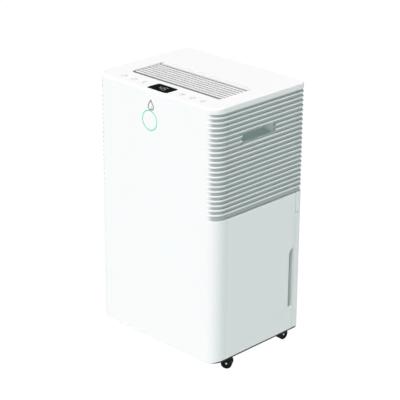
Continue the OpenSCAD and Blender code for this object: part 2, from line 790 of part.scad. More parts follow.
function foot_at(i) = [comp_x + foot_reach * cos(30 + 120 * i), comp_y + foot_reach * sin(30 + 120 * i)];

module compressor() color([0.12, 0.12, 0.13])
    difference() {
        union() {
            translate([comp_x, comp_y, comp_z + 6]) rotate_extrude() polygon(concat(
                [[0, 0]],
                arc([comp_r - 12, 12], 12, -90, 0),
                arc([comp_r - 22, comp_h - 22], 22, 0, 90),
                [[0, comp_h]]
            ));
            for (i = [0 : 2]) {
                translate([foot_at(i)[0], foot_at(i)[1], comp_z]) cylinder(r = foot_r, h = 4);
                translate([comp_x, comp_y, comp_z]) rotate([0, 0, 30 + 120 * i])
                    block([comp_r - 25, 3 - foot_r, 0], [foot_reach, foot_r - 3, 3]);
            }
            translate([comp_x, comp_y, comp_z]) cylinder(r = comp_r - 16, h = 8);
        }
        for (i = [0 : 2]) translate([foot_at(i)[0], foot_at(i)[1], comp_z - 1]) cylinder(r = 5, h = 6);
    }

module compressor_feet() color([0.2, 0.2, 0.21])
    for (i = [0 : 2]) translate([foot_at(i)[0], foot_at(i)[1], z_floor]) difference() {
        cylinder(r = foot_r - 1, h = comp_z - z_floor);
        translate([0, 0, -1]) cylinder(r = 3.4, h = comp_z - z_floor + 2);
    }

module compressor_bolts() color([0.6, 0.61, 0.63])
    for (i = [0 : 2]) translate([foot_at(i)[0], foot_at(i)[1], z_floor]) {
        cylinder(r = 3, h = comp_z - z_floor + 5);
        translate([0, 0, comp_z - z_floor + 4]) cylinder(r = 6, h = 4, $fn = 6);
    }

acc_x = bay_x - 33;
acc_y = comp_y - 65;
acc_r = 22;
acc_z0 = z_floor + 50;
acc_h = 100;
acc_top = acc_z0 + acc_h;

module accumulator() color([0.12, 0.12, 0.13])
    translate([acc_x, acc_y, acc_z0]) rotate_extrude() polygon(concat(
        [[0, 0]], arc([acc_r - 10, 10], 10, -90, 0), arc([acc_r - 10, acc_h - 10], 10, 0, 90), [[0, acc_h]]
    ));

// Hot gas from the top of the compressor to the condenser
module discharge_pipe() color([0.75, 0.45, 0.3])
    pipe_run([
        [comp_x, comp_y, comp_top], [comp_x, comp_y, (comp_top + deck_z) / 2],
        [riser_x, condenser_y + coil_t / 2, (comp_top + deck_z) / 2],
        [riser_x, condenser_y + coil_t / 2, tube_z(tube_rows - 1)],
        [-coil_x - 2, condenser_y + coil_t / 2, tube_z(tube_rows - 1)],
    ], pipe_r);

// Cold gas from the evaporator back to the accumulator, and on from its foot to the compressor
module suction_pipe() color([0.75, 0.45, 0.3]) {
    y = evaporator_y + coil_t / 2;
    pipe_run([
        [acc_x, acc_y, acc_top], [acc_x, acc_y, acc_top + 12], [acc_x, y, acc_top + 12],
        [riser_x, y, acc_top + 12], [riser_x, y, tube_z(0)], [-coil_x - 2, y, tube_z(0)],
    ], pipe_r);
    pipe_run([
        [acc_x, acc_y, acc_z0], [acc_x, acc_y, acc_z0 - 12], [acc_x, comp_y, acc_z0 - 12],
        [comp_x + comp_r + 0.05, comp_y, acc_z0 - 12],
    ], pipe_r);
}

module fan_housing() color([0.84, 0.85, 0.85])
    difference() {
        union() {
            bar_y([0, duct_y0, fan_z], case_r, duct_y1 - duct_y0);
            // Neck between the carry pockets, and the wide mouth above them
            block([-case_r, duct_y0, fan_z], [case_r, duct_y1, mouth_z + shroud_t]);
            block([-duct_x, duct_y0, mouth_z], [duct_x, duct_y1, duct_top]);
            // Foot on the deck
            block([-50, duct_y0, deck_top], [50, duct_y1, fan_z - 0.7 * case_r]);
        }
        bar_y([0, duct_y0 + shroud_t, fan_z], case_r - shroud_t, duct_y1 - duct_y0 - 2 * shroud_t);
        block([shroud_t - case_r, duct_y0 + shroud_t, fan_z], [case_r - shroud_t, duct_y1 - shroud_t, far]);
        block([shroud_t - duct_x, duct_y0 + shroud_t, mouth_z + shroud_t], [duct_x - shroud_t, duct_y1 - shroud_t, far]);
        bar_y([0, 0, fan_z], fan_r - 12, far);
        bar_y([0, duct_y0 - 1, fan_z], 14, 10);
    }

fan_y0 = duct_y0 + shroud_t + 5;
fan_y1 = duct_y1 - shroud_t - 8;

module fan_wheel() color([0.25, 0.27, 0.29])
    difference() {
        union() {
            bar_y([0, fan_y0, fan_z], fan_r, 2);
            bar_y([0, fan_y0, fan_z], shaft_r + 5, 30);
            difference() {
                bar_y([0, fan_y1 - 3, fan_z], fan_r, 3);
                bar_y([0, fan_y1 - 4, fan_z], fan_r - 12, 5);
            }
            for (i = [0 : blade_count - 1]) translate([0, 0, fan_z]) rotate([0, i * 360 / blade_count, 0])
                block([fan_r - 13, fan_y0 + 1, -0.8], [fan_r - 1, fan_y1 - 1, 0.8]);
        }
        bar_y([0, fan_y0 - 1, fan_z], shaft_r, 40);
    }

module fan_shaft() color([0.6, 0.61, 0.63])
    bar_y([0, duct_y0 - motor_len + 4, fan_z], shaft_r, fan_y0 + 28 - duct_y0 + motor_len - 4);

module fan_motor() color([0.5, 0.52, 0.54])
    difference() {
        bar_y([0, duct_y0 - motor_len, fan_z], motor_r, motor_len);
        bar_y([0, duct_y0 - motor_len + 3, fan_z], shaft_r + pin_gap, motor_len);
    }

elec_x0 = -body_w / 2 + 24;
elec_x1 = -24;
elec_y0 = y_face + wall + 6;
elec_y1 = duct_y0 - motor_len - 1;
elec_z0 = deck_top;
elec_z1 = elec_z0 + 110;

module electronics_box() color([0.9, 0.9, 0.88])
    difference() {
        block([elec_x0, elec_y0, elec_z0], [elec_x1, elec_y1, elec_z1]);
        block([elec_x0 + 2, elec_y0 - 1, elec_z0 + 2], [elec_x1 - 2, elec_y1 - 2, elec_z1 - 2]);
    }

module main_board() color([0.12, 0.35, 0.22])
    block([elec_x0 + 5, elec_y1 - 3.6, elec_z0 + 5], [elec_x1 - 5, elec_y1 - 2, elec_z1 - 5]);

module capacitor() color([0.82, 0.82, 0.8])
    translate([-body_w / 2 + 50, y_face + 25.5, z_floor]) cylinder(r = 17, h = 70);

base_tray();
front_cover();
left_side_panel();
right_side_panel();
top_cover();
rear_cover();
rear_grille();
filter_frame();
filter_mesh();
outlet_grille();
display_window();
control_board();
touch_springs();
light_ring();
ring_light_board();
left_carry_pocket();
right_carry_pocket();
mid_deck();
tank_bay();
water_tank();
tank_front();
tank_lid();
tank_bail();
float_arm();
float_block();
float_magnet();
float_sensor();
drip_tray();
evaporator();
condenser();
compressor();
accumulator();
compressor_feet();
compressor_bolts();
discharge_pipe();
suction_pipe();
fan_housing();
fan_wheel();
fan_shaft();
fan_motor();
electronics_box();
main_board();
capacitor();
drain_spigot();
drain_door();
cable_gland();
cover_screws();
castor_stems();
castor_fork(CASTORS[0]);  // castor_fork_front_right
castor_fork(CASTORS[1]);  // castor_fork_front_left
castor_fork(CASTORS[2]);  // castor_fork_rear_right
castor_fork(CASTORS[3]);  // castor_fork_rear_left
castor_wheels(CASTORS[0]);  // castor_wheels_front_right
castor_wheels(CASTORS[1]);  // castor_wheels_front_left
castor_wheels(CASTORS[2]);  // castor_wheels_rear_right
castor_wheels(CASTORS[3]);  // castor_wheels_rear_left
castor_axle(CASTORS[0]);  // castor_axle_front_right
castor_axle(CASTORS[1]);  // castor_axle_front_left
castor_axle(CASTORS[2]);  // castor_axle_rear_right
castor_axle(CASTORS[3]);  // castor_axle_rear_left
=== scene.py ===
import math
import bmesh
import bpy
import numpy as np
from mathutils import Matrix, Vector
from mathutils.geometry import delaunay_2d_cdt
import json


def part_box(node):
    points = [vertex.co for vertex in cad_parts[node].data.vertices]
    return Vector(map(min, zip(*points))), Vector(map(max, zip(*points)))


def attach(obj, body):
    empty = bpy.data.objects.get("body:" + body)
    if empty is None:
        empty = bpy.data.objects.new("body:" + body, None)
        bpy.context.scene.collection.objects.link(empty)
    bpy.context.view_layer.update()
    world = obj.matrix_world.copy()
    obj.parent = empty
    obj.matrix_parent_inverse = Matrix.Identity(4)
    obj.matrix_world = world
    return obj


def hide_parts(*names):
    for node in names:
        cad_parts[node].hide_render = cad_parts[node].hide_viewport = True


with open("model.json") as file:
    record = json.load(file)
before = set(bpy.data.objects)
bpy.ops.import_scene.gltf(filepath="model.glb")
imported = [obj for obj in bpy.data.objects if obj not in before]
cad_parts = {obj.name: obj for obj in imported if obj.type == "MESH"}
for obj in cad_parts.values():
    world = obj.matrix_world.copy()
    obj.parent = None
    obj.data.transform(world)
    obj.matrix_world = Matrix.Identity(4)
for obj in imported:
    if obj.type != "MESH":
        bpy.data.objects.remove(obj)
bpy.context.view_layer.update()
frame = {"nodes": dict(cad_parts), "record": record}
mm = 0.001


def nodeBox(node):
    lo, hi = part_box(node)
    return np.array(lo), np.array(hi)


def newFinish(name):
    mat = bpy.data.materials.new(name)
    mat.use_nodes = True
    tree = mat.node_tree
    return mat, tree, tree.nodes["Principled BSDF"]


def addNode(tree, kind, **values):
    node = tree.nodes.new(kind)
    for key, value in values.items():
        if key in node.inputs:
            node.inputs[key].default_value = value
        else:
            setattr(node, key, value)
    return node


def objectNoise(tree, scale, detail=3.0, stretch=(1, 1, 1)):
    # noise on object coordinates, drawn out along the axes where stretch is small
    coord = addNode(tree, "ShaderNodeTexCoord")
    mapping = addNode(tree, "ShaderNodeMapping")
    mapping.inputs["Scale"].default_value = stretch
    noise = addNode(tree, "ShaderNodeTexNoise", Scale=scale, Detail=detail)
    tree.links.new(coord.outputs["Object"], mapping.inputs["Vector"])
    tree.links.new(mapping.outputs["Vector"], noise.inputs["Vector"])
    return noise


def spread(tree, source, low, high):
    node = addNode(tree, "ShaderNodeMapRange")
    node.inputs["To Min"].default_value = low
    node.inputs["To Max"].default_value = high
    tree.links.new(source, node.inputs["Value"])
    return node.outputs["Result"]


def blendColors(tree, factor, a, b):
    node = tree.nodes.new("ShaderNodeMix")
    node.data_type = "RGBA"
    tree.links.new(factor, node.inputs["Factor"])
    for socket, value in ((node.inputs["A"], a), (node.inputs["B"], b)):
        if isinstance(value, bpy.types.NodeSocket):
            tree.links.new(value, socket)
        else:
            socket.default_value = (*value, 1)
    return node.outputs["Result"]


def addGrain(tree, shader, size, depth, stretch=(1, 1, 1)):
    # fine surface grain as a bump, size in metres
    noise = objectNoise(tree, 1 / size, 2.0, stretch)
    bump = addNode(tree, "ShaderNodeBump", Strength=depth, Distance=size * 0.5)
    tree.links.new(noise.outputs["Fac"], bump.inputs["Height"])
    tree.links.new(bump.outputs["Normal"], shader.inputs["Normal"])
    return noise


def mouldedPlastic(name, color, rough=0.42, grain=0.0011, depth=0.06, shift=0.03, recess=None, coat=0.0,
                   shine=0.5):
    # grained plastic with a faint cloudiness; the optional darker colour is painted shade, mixed in by a
    # point attribute in grooves and gaps that lie in shade
    mat, tree, shader = newFinish(name)
    cloud = objectNoise(tree, 9, 4.0)
    dark = tuple(c * (1 - shift) for c in color)
    tint = blendColors(tree, cloud.outputs["Fac"], dark, color)
    if recess:
        grooveShade = addNode(tree, "ShaderNodeAttribute", attribute_name="recess")
        tint = blendColors(tree, grooveShade.outputs["Fac"], tint, recess)
    tree.links.new(tint, shader.inputs["Base Color"])
    fine = addGrain(tree, shader, grain, depth)
    tree.links.new(spread(tree, fine.outputs["Fac"], rough - 0.06, rough + 0.06), shader.inputs["Roughness"])
    shader.inputs["Coat Weight"].default_value = coat
    shader.inputs["Specular IOR Level"].default_value = shine
    return mat


def glossPlastic(name, color, rough=0.12, emission=None, strength=0.0, shine=0.4):
    mat, tree, shader = newFinish(name)
    smear = objectNoise(tree, 60, 5.0)
    tree.links.new(spread(tree, smear.outputs["Fac"], rough * 0.6, rough * 1.7), shader.inputs["Roughness"])
    tree.links.new(blendColors(tree, smear.outputs["Fac"], tuple(c * 0.93 for c in color), color),
                   shader.inputs["Base Color"])
    shader.inputs["Specular IOR Level"].default_value = shine
    if emission:
        shader.inputs["Emission Color"].default_value = (*emission, 1)
        shader.inputs["Emission Strength"].default_value = strength
    return mat


def clearPlastic(name, color, rough=0.2):
    mat, tree, shader = newFinish(name)
    mist = objectNoise(tree, 35, 4.0)
    tree.links.new(spread(tree, mist.outputs["Fac"], rough * 0.7, rough * 1.5), shader.inputs["Roughness"])
    tree.links.new(blendColors(tree, mist.outputs["Fac"], tuple(c * 0.95 for c in color), color),
                   shader.inputs["Base Color"])
    shader.inputs["Transmission Weight"].default_value = 0.6
    shader.inputs["IOR"].default_value = 1.46
    return mat


def metalFinish(name, color, rough=0.32, stretch=(1, 1, 1), size=0.0006, depth=0.05, shift=0.12):
    mat, tree, shader = newFinish(name)
    shader.inputs["Metallic"].default_value = 1.0
    streak = addGrain(tree, shader, size, depth, stretch)
    cloud = objectNoise(tree, 30, 4.0)
    tree.links.new(blendColors(tree, cloud.outputs["Fac"], tuple(c * (1 - shift) for c in color), color),
                   shader.inputs["Base Color"])
    tree.links.new(spread(tree, streak.outputs["Fac"], rough - 0.1, rough + 0.1), shader.inputs["Roughness"])
    return mat


def boardFinish(name):
    # solder mask with copper tracks showing through as lighter bands
    mat, tree, shader = newFinish(name)
    coord = addNode(tree, "ShaderNodeTexCoord")
    cells = addNode(tree, "ShaderNodeTexVoronoi", feature="DISTANCE_TO_EDGE", distance="MANHATTAN")
    cells.inputs["Scale"].default_value = 170
    tree.links.new(coord.outputs["Object"], cells.inputs["Vector"])
    ramp = addNode(tree, "ShaderNodeValToRGB")
    ramp.color_ramp.elements[0].position = 0.08
    ramp.color_ramp.elements[0].color = (0.05, 0.24, 0.11, 1)
    ramp.color_ramp.elements[1].position = 0.14
    ramp.color_ramp.elements[1].color = (0.015, 0.11, 0.05, 1)
    tree.links.new(cells.outputs["Distance"], ramp.inputs["Fac"])
    tree.links.new(ramp.outputs["Color"], shader.inputs["Base Color"])
    addGrain(tree, shader, 0.0006, 0.08)
    shader.inputs["Roughness"].default_value = 0.3
    return mat


def netFinish(name, color, pitch=0.0016):
    # plain weave: two crossed sets of threads
    mat, tree, shader = newFinish(name)
    coord = addNode(tree, "ShaderNodeTexCoord")
    waves = []
    for direction in ("X", "Z"):
        wave = addNode(tree, "ShaderNodeTexWave", bands_direction=direction)
        wave.inputs["Scale"].default_value = 0.314 / pitch
        wave.inputs["Distortion"].default_value = 0.4
        tree.links.new(coord.outputs["Object"], wave.inputs["Vector"])
        waves.append(wave.outputs["Fac"])
    top = addNode(tree, "ShaderNodeMath", operation="MAXIMUM")
    tree.links.new(waves[0], top.inputs[0])
    tree.links.new(waves[1], top.inputs[1])
    bump = addNode(tree, "ShaderNodeBump", Strength=0.7, Distance=0.0004)
    tree.links.new(top.outputs["Value"], bump.inputs["Height"])
    tree.links.new(bump.outputs["Normal"], shader.inputs["Normal"])
    tree.links.new(blendColors(tree, top.outputs["Value"], tuple(c * 0.25 for c in color), color),
                   shader.inputs["Base Color"])
    shader.inputs["Roughness"].default_value = 0.8
    return mat


# the shell's second colour is painted shade for the groove floors, which are moulded in the same white
# plastic
shellLook = dict(white=(0.845, 0.9, 0.897), grooveShade=(0.46, 0.515, 0.51), rough=0.42)
finishes = {
    "shell_white": mouldedPlastic("shellWhite", shellLook["white"], shellLook["rough"], shift=0.012,
                                  recess=shellLook["grooveShade"], shine=0.25),
    # the grille's second, darker colour is painted shade on the slats' sides and in the gaps between them
    "grille_grey": mouldedPlastic("grilleGrey", (0.76, 0.8, 0.795), 0.4, recess=(0.38, 0.42, 0.42),
                                  shine=0.25),
    # coloured a little darker than the shell as painted shade for the inside of the carry pockets and the
    # grip's cup
    "pocket_grey": mouldedPlastic("pocketShadeGrey", (0.74, 0.81, 0.8), 0.5, shine=0.25),
    "base_dark": mouldedPlastic("baseDark", (0.028, 0.03, 0.032), 0.6, grain=0.0015, depth=0.15, shine=0.2),
    "window_black": glossPlastic("windowBlack", (0.006, 0.006, 0.007), 0.16, shine=0.01),
    "ring_mint": glossPlastic("ringMint", (0.06, 0.6, 0.43), 0.3, (0.1, 0.86, 0.6), 0.1, shine=0.1),
    "filter_grey": mouldedPlastic("filterGrey", (0.06, 0.07, 0.075), 0.5),
    "filter_net": netFinish("filterNet", (0.05, 0.055, 0.06)),
    "board_green": boardFinish("boardGreen"),
    "spring_steel": metalFinish("springSteel", (0.72, 0.55, 0.3), 0.3),
    "inner_white": mouldedPlastic("innerWhite", (0.62, 0.63, 0.62), 0.5, depth=0.1),
    "inner_black": mouldedPlastic("innerBlack", (0.02, 0.02, 0.022), 0.5),
    "tank_clear": clearPlastic("tankClear", (0.72, 0.83, 0.87)),
    "lid_white": mouldedPlastic("lidWhite", (0.72, 0.74, 0.74), 0.4),
    "bail_grey": mouldedPlastic("bailGrey", (0.5, 0.55, 0.55), 0.4),
    "foam_white": mouldedPlastic("foamWhite", (0.8, 0.8, 0.77), 0.85, grain=0.003, depth=0.5),
    "magnet_dark": metalFinish("magnetDark", (0.1, 0.1, 0.11), 0.5),
    "fin_aluminium": metalFinish("finAluminium", (0.78, 0.8, 0.81), 0.34, (1, 1, 0.1)),
    "compressor_black": mouldedPlastic("compressorBlack", (0.012, 0.012, 0.013), 0.3, grain=0.0025,
                                       depth=0.1, coat=0.3),
    "foot_rubber": mouldedPlastic("footRubber", (0.02, 0.02, 0.02), 0.8),
    "screw_steel": metalFinish("screwSteel", (0.6, 0.61, 0.63), 0.3),
    "pipe_copper": metalFinish("pipeCopper", (0.86, 0.45, 0.28), 0.28, shift=0.3),
    "fan_grey": mouldedPlastic("fanGrey", (0.05, 0.055, 0.06), 0.45),
    "motor_steel": metalFinish("motorSteel", (0.5, 0.52, 0.54), 0.35, (1, 0.1, 1)),
    "capacitor_grey": metalFinish("capacitorGrey", (0.7, 0.71, 0.72), 0.3, (1, 1, 0.08)),
    "castor_black": mouldedPlastic("castorBlack", (0.006, 0.006, 0.007), 0.4, shine=0.12),
    "wheel_rubber": mouldedPlastic("wheelRubber", (0.01, 0.01, 0.011), 0.6, depth=0.12, shine=0.12),
    "print_grey": mouldedPlastic("printGrey", (0.33, 0.36, 0.36), 0.6),
    "print_dark": mouldedPlastic("printDark", (0.085, 0.09, 0.095), 0.5),
    "digit_white": glossPlastic("digitWhite", (0.35, 0.38, 0.39), 0.3, (0.8, 0.92, 0.95), 0.06),
}
finishes["shell_grey"] = finishes["shell_white"]

# every node of the frame gets its finish; the pieces made further down then stand for the visible ones
for entry in frame["record"]["subparts"]:
    nodeObject = frame["nodes"][entry["node"]]
    for holder in nodeObject.material_slots:
        holder.material = finishes[entry["material_slot"]]
print("finishes given to", len(frame["nodes"]), "nodes")


def gridQuads(nu, nv, closeU=False, closeV=False):
    # quads of a grid whose point (i, j) has the number i * nv + j, facing along du x dv
    i, j = np.meshgrid(np.arange(nu - (not closeU)), np.arange(nv - (not closeV)), indexing="ij")
    i2, j2 = (i + 1) % nu, (j + 1) % nv
    return np.stack([i * nv + j, i2 * nv + j, i2 * nv + j2, i * nv + j2], -1).reshape(-1, 4)


def merged(parts):
    # several (points, faces) sets as one
    points, faces, base = [], [], 0
    for p, f in parts:
        points.append(np.asarray(p, float).reshape(-1, 3))
        faces += [np.add(face, base).tolist() for face in f]
        base += len(points[-1])
    return np.vstack(points), faces


def applyModifiers(obj):
    bpy.context.view_layer.update()
    graph = bpy.context.evaluated_depsgraph_get()
    mesh = bpy.data.meshes.new_from_object(obj.evaluated_get(graph), preserve_all_data_layers=True,
                                           depsgraph=graph)
    obj.modifiers.clear()
    obj.data = mesh


def addPiece(name, parts, slot, body, nodes=(), wall=0.0, bevel=0.0, steps=2, sharp=35, recess=None,
             flip=False):
    # wall gives the surface a thickness behind its outer side, bevel rounds its sharp edges
    points, faces = merged(parts)
    mesh = bpy.data.meshes.new(name)
    mesh.from_pydata(points.tolist(), [], faces)
    # the optional point values become an attribute that tells the shader where to paint shade
    if recess is not None:
        layer = mesh.attributes.new("recess", "FLOAT", "POINT")
        layer.data.foreach_set("value", np.asarray(recess, np.float32))
    work = bmesh.new()
    work.from_mesh(mesh)
    bmesh.ops.remove_doubles(work, verts=work.verts, dist=2e-6)
    if flip:
        bmesh.ops.reverse_faces(work, faces=work.faces)
    work.to_mesh(mesh)
    work.free()
    obj = bpy.data.objects.new(name, mesh)
    bpy.context.scene.collection.objects.link(obj)
    mesh.materials.append(finishes[slot])
    if wall:
        thick = obj.modifiers.new("wall", "SOLIDIFY")
        thick.thickness = wall
        thick.offset = -1
    if bevel:
        edge = obj.modifiers.new("edge", "BEVEL")
        edge.width = bevel
        edge.segments = steps
        edge.limit_method = "ANGLE"
        edge.angle_limit = math.radians(50)
    if wall or bevel:
        applyModifiers(obj)
    obj.data.polygons.foreach_set("use_smooth", np.ones(len(obj.data.polygons), bool))
    obj.data.set_sharp_from_angle(angle=math.radians(sharp))
    weighted = obj.modifiers.new("shade", "WEIGHTED_NORMAL")
    weighted.keep_sharp = True
    applyModifiers(obj)
    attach(obj, body)
    if nodes:
        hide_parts(*nodes)
    return obj


def smoothStep(x, a, b):
    t = np.clip((x - a) / (b - a), 0, 1)
    return t * t * (3 - 2 * t)


def circle(cx, cy, r, n=64, a0=0.0):
    a = a0 + np.arange(n) * 2 * math.pi / n
    return np.stack([cx + r * np.cos(a), cy + r * np.sin(a)], -1)


def roundedRect(x0, y0, x1, y1, radii, n=8):
    # quarter arcs joined counter-clockwise, with radii for lower right, upper right, upper left, lower left
    r = np.broadcast_to(radii, 4)
    middles = [(x1 - r[0], y0 + r[0]), (x1 - r[1], y1 - r[1]), (x0 + r[2], y1 - r[2]), (x0 + r[3], y0 + r[3])]
    loops = []
    for k, (cx, cy) in enumerate(middles):
        a = np.radians(np.linspace(-90, 0, n + 1) + 90 * k)
        loops.append(np.stack([cx + r[k] * np.cos(a), cy + r[k] * np.sin(a)], -1))
    return np.vstack(loops)


def insideLoop(p, loop):
    # even-odd rule for many points at once
    x, y = p[:, :1], p[:, 1:]
    a, b = loop, np.roll(loop, -1, 0)
    crosses = ((a[:, 1] > y) != (b[:, 1] > y))
    with np.errstate(divide="ignore", invalid="ignore"):
        at = (b[:, 0] - a[:, 0]) * (y - a[:, 1]) / (b[:, 1] - a[:, 1]) + a[:, 0]
    return (crosses & (x < at)).sum(1) % 2 == 1


def flatPatch(outer, holes=(), up=True):
    # triangles of a flat region with holes, in the plane of its own two coordinates
    loops = [np.asarray(outer)] + [np.asarray(h) for h in holes]
    points = np.vstack(loops)
    edges, base = [], 0
    for loop in loops:
        n = len(loop)
        edges += [(base + k, base + (k + 1) % n) for k in range(n)]
        base += n
    found = delaunay_2d_cdt([Vector(p) for p in points], edges, [], 0, 1e-7)
    flat = np.array([tuple(v) for v in found[0]])
    tris = np.array([f for f in found[2] if len(f) == 3])
    middle = flat[tris].mean(1)
    keep = insideLoop(middle, loops[0])
    for hole in loops[1:]:
        keep &= ~insideLoop(middle, hole)
    tris = tris[keep]
    a, b, c = flat[tris[:, 0]], flat[tris[:, 1]], flat[tris[:, 2]]
    turn = (b[:, 0] - a[:, 0]) * (c[:, 1] - a[:, 1]) - (b[:, 1] - a[:, 1]) * (c[:, 0] - a[:, 0])
    wrong = (turn < 0) if up else (turn > 0)
    tris[wrong] = tris[wrong][:, ::-1]
    return flat, tris[np.abs(turn) > 1e-13]


def lift(flat, axis, level):
    # flat points as space points, with the given coordinate held at level
    p = np.zeros((len(flat), 3))
    others = [k for k in range(3) if k != axis]
    p[:, others[0]], p[:, others[1]], p[:, axis] = flat[:, 0], flat[:, 1], level
    return p


casing = dict(frontR=29 * mm, rearR=14 * mm, wall=2.4 * mm, ribs=21, ribPitch=10 * mm, ribHalf=1.4 * mm,
              grooveDepth=3 * mm, firstRib=12.5 * mm, edge=0.6 * mm, sideRound=1.4 * mm, frontRound=3.7 * mm,
              cornerSteps=24, skirt=3.1 * mm, frontFade=(0.14, 0.62), rearFade=(0.02, 0.3))
frontLo, frontHi = nodeBox("front_cover")
tankLo, tankHi = nodeBox("tank_front")
leftLo, leftHi = nodeBox("left_side_panel")
rightLo, rightHi = nodeBox("right_side_panel")
rearLo, rearHi = nodeBox("rear_cover")
grilleLo, grilleHi = nodeBox("rear_grille")
topLo, topHi = nodeBox("top_cover")
halfW, halfD = topHi[0], topHi[1]
zSkin, zTop, zRim = frontLo[2], topHi[2], (leftHi[2] + topLo[2]) / 2
zRib = tankHi[2] + (zRim - leftHi[2])
ribHeights = zRib + casing["firstRib"] + np.arange(casing["ribs"]) * casing["ribPitch"]


def outline(*segments):
    # points and outward normals along straight runs ("line", x0, y0, x1, y1, cuts)
    # and round corners ("arc", x, y, r, a0, a1)
    pts, nrm = [], []
    for s in segments:
        if s[0] == "line":
            p, q = np.array(s[1:3]), np.array(s[3:5])
            length = np.linalg.norm(q - p)
            d = (q - p) / length
            t = np.unique(np.round(np.concatenate([[0, length], np.asarray(s[5] if len(s) > 5 else [])]), 7))
            pts.append(p + t[:, None] * d)
            nrm.append(np.repeat([[d[1], -d[0]]], len(t), 0))
        else:
            a = np.radians(np.linspace(s[4], s[5], casing["cornerSteps"] + 1))
            ring = np.stack([np.cos(a), np.sin(a)], -1)
            pts.append(np.array(s[1:3]) + s[3] * ring)
            nrm.append(ring)
    pts, nrm = np.vstack(pts), np.vstack(nrm)
    keep = np.concatenate([[True], np.linalg.norm(np.diff(pts, axis=0), axis=1) > 1e-6])
    return pts[keep], nrm[keep]


def ribRows(low, high, *extra):
    offsets = np.array([-5, -2.1, -1.75, -1.45, -1.15, -0.8, 0, 0.8, 1.15, 1.45, 1.75, 2.1, 5]) * mm
    edges = np.array([-0.8, -0.35, 0, 0.35, 0.8]) * mm
    rows = np.concatenate([(ribHeights[:, None] + offsets).ravel(), zRib + edges, zRim + edges,
                           low + np.array([0, 0.12, 0.3, 0.6]) * mm, [high], np.array(extra, float)])
    rows = np.unique(np.round(rows[(rows >= low - 1e-9) & (rows <= high + 1e-9)], 6))
    return rows[np.concatenate([[True], np.diff(rows) > 4e-5])]


def grooveShare(z):
    # 0 on the raised bands and ribs, 1 on the groove floor, with rounded shoulders between
    away = np.abs(z[:, None] - ribHeights).min(1) - casing["ribHalf"]
    away = np.minimum(away, np.minimum(z - zRib, zRim - z))
    return smoothStep(away, -0.35 * mm, 0.7 * mm)


def casingWall(path, rows, foot=None, drop=(), skirt=0.0):
    # the outline carried up through the rows and pressed in by the grooves; drop leaves out boxes of cells,
    # and skirt draws the lowest rows down where the wall faces the front
    pts, nrm = path
    side = np.abs(nrm[:, 0])
    front = nrm[:, 1] < 0.001
    fade = np.where(front, smoothStep(side, *casing["frontFade"]), smoothStep(side, *casing["rearFade"]))
    depth = casing["grooveDepth"] * side * fade
    share = grooveShare(rows)
    inward = depth[:, None] * share
    if foot is not None:
        r = casing["edge"]
        lift01 = np.clip(r - (rows - foot), 0, r)
        inward = inward + (r - np.sqrt(np.maximum(r * r - lift01 ** 2, 0)))[None, :]
    p = np.zeros((len(pts), len(rows), 3))
    p[..., 0] = pts[:, None, 0] - nrm[:, None, 0] * inward
    p[..., 1] = pts[:, None, 1] - nrm[:, None, 1] * inward
    p[..., 2] = rows
    if skirt:
        low = (rows < foot + 1 * mm)[None, :]
        p[..., 2] -= skirt * low * (1 - smoothStep(side, 0.5, 1.0))[:, None]
    # share of painted shade on the groove floors, faded out with the grooves towards the front and the rear
    recess = (smoothStep(side * fade, 0.0, 0.75)[:, None] * share).ravel()
    quads = gridQuads(len(pts), len(rows))
    middle = p.reshape(-1, 3)[quads].mean(1)
    keep = np.ones(len(quads), bool)
    for low, high in drop:
        keep &= ~((middle > low).all(1) & (middle < high).all(1))
    return p.reshape(-1, 3), quads[keep], recess


def window(axis, level, a0, a1, b0, b1, columns, rows, holes):
    # a flat patch that fills a dropped window and meets the grid round it point for point
    a = np.unique(np.round(columns[(columns >= a0 - 1e-6) & (columns <= a1 + 1e-6)], 6))
    b = rows[(rows >= b0 - 1e-6) & (rows <= b1 + 1e-6)]
    onA, onB = np.ones(len(a)), np.ones(len(b))
    sides = [(a, b[0] * onA), (a[-1] * onB, b), (a[::-1], b[-1] * onA), (a[0] * onB, b[::-1])]
    loop = np.vstack([np.stack(pair, -1)[:-1] for pair in sides])
    flat, tris = flatPatch(loop, holes)
    return lift(flat, axis, level), tris


far = 9.0  # beyond everything
edgeCut = 1.5 * mm  # a first cut beside each end of a flat run keeps its shading flat
xArc, yArc = halfW - casing["frontR"], halfD - casing["frontR"]
xRear, yRear = halfW - casing["rearR"], halfD - casing["rearR"]

# front cover, with the seat of the light ring pressed into its face
ringLo, ringHi = nodeBox("light_ring")
ring = dict(x=(ringLo[0] + ringHi[0]) / 2, z=(ringLo[2] + ringHi[2]) / 2, r=(ringHi[0] - ringLo[0]) / 2,
            width=2 * mm, seat=1.5 * mm, gap=0.06 * mm, window=30 * mm, points=96)
spanX = [ring["x"] - ring["window"], ring["x"] + ring["window"]]
spanZ = [ring["z"] - ring["window"], ring["z"] + ring["window"]]
frontRun = np.array([edgeCut, 0.02, xArc + spanX[0], xArc + spanX[1], 2 * xArc - 0.02, 2 * xArc - edgeCut])
frontFlat = ("line", -xArc, -halfD, xArc, -halfD, frontRun)
path = outline(("line", -halfW, frontHi[1], -halfW, -yArc), ("arc", -xArc, -yArc, casing["frontR"], 180, 270),
               frontFlat, ("arc", xArc, -yArc, casing["frontR"], 270, 360),
               ("line", halfW, -yArc, halfW, frontHi[1]))
tongueTop = frontHi[2]
shoulder = topLo[2] - 0.15 * mm
rows = ribRows(zSkin, tongueTop, shoulder, *spanZ)
tongue = [((-far, -far, shoulder), (-xArc, far, far)), ((xArc, -far, shoulder), (far, far, far))]
seatWindow = ((spanX[0], -far, spanZ[0]), (spanX[1], 0, spanZ[1]))
points, quads, recess = casingWall(path, rows, zSkin, tongue + [seatWindow], casing["skirt"])
outR, inR = ring["r"] + ring["gap"], ring["r"] - ring["width"] - ring["gap"]
outCircle, inCircle = (circle(ring["x"], ring["z"], r, ring["points"]) for r in (outR, inR))
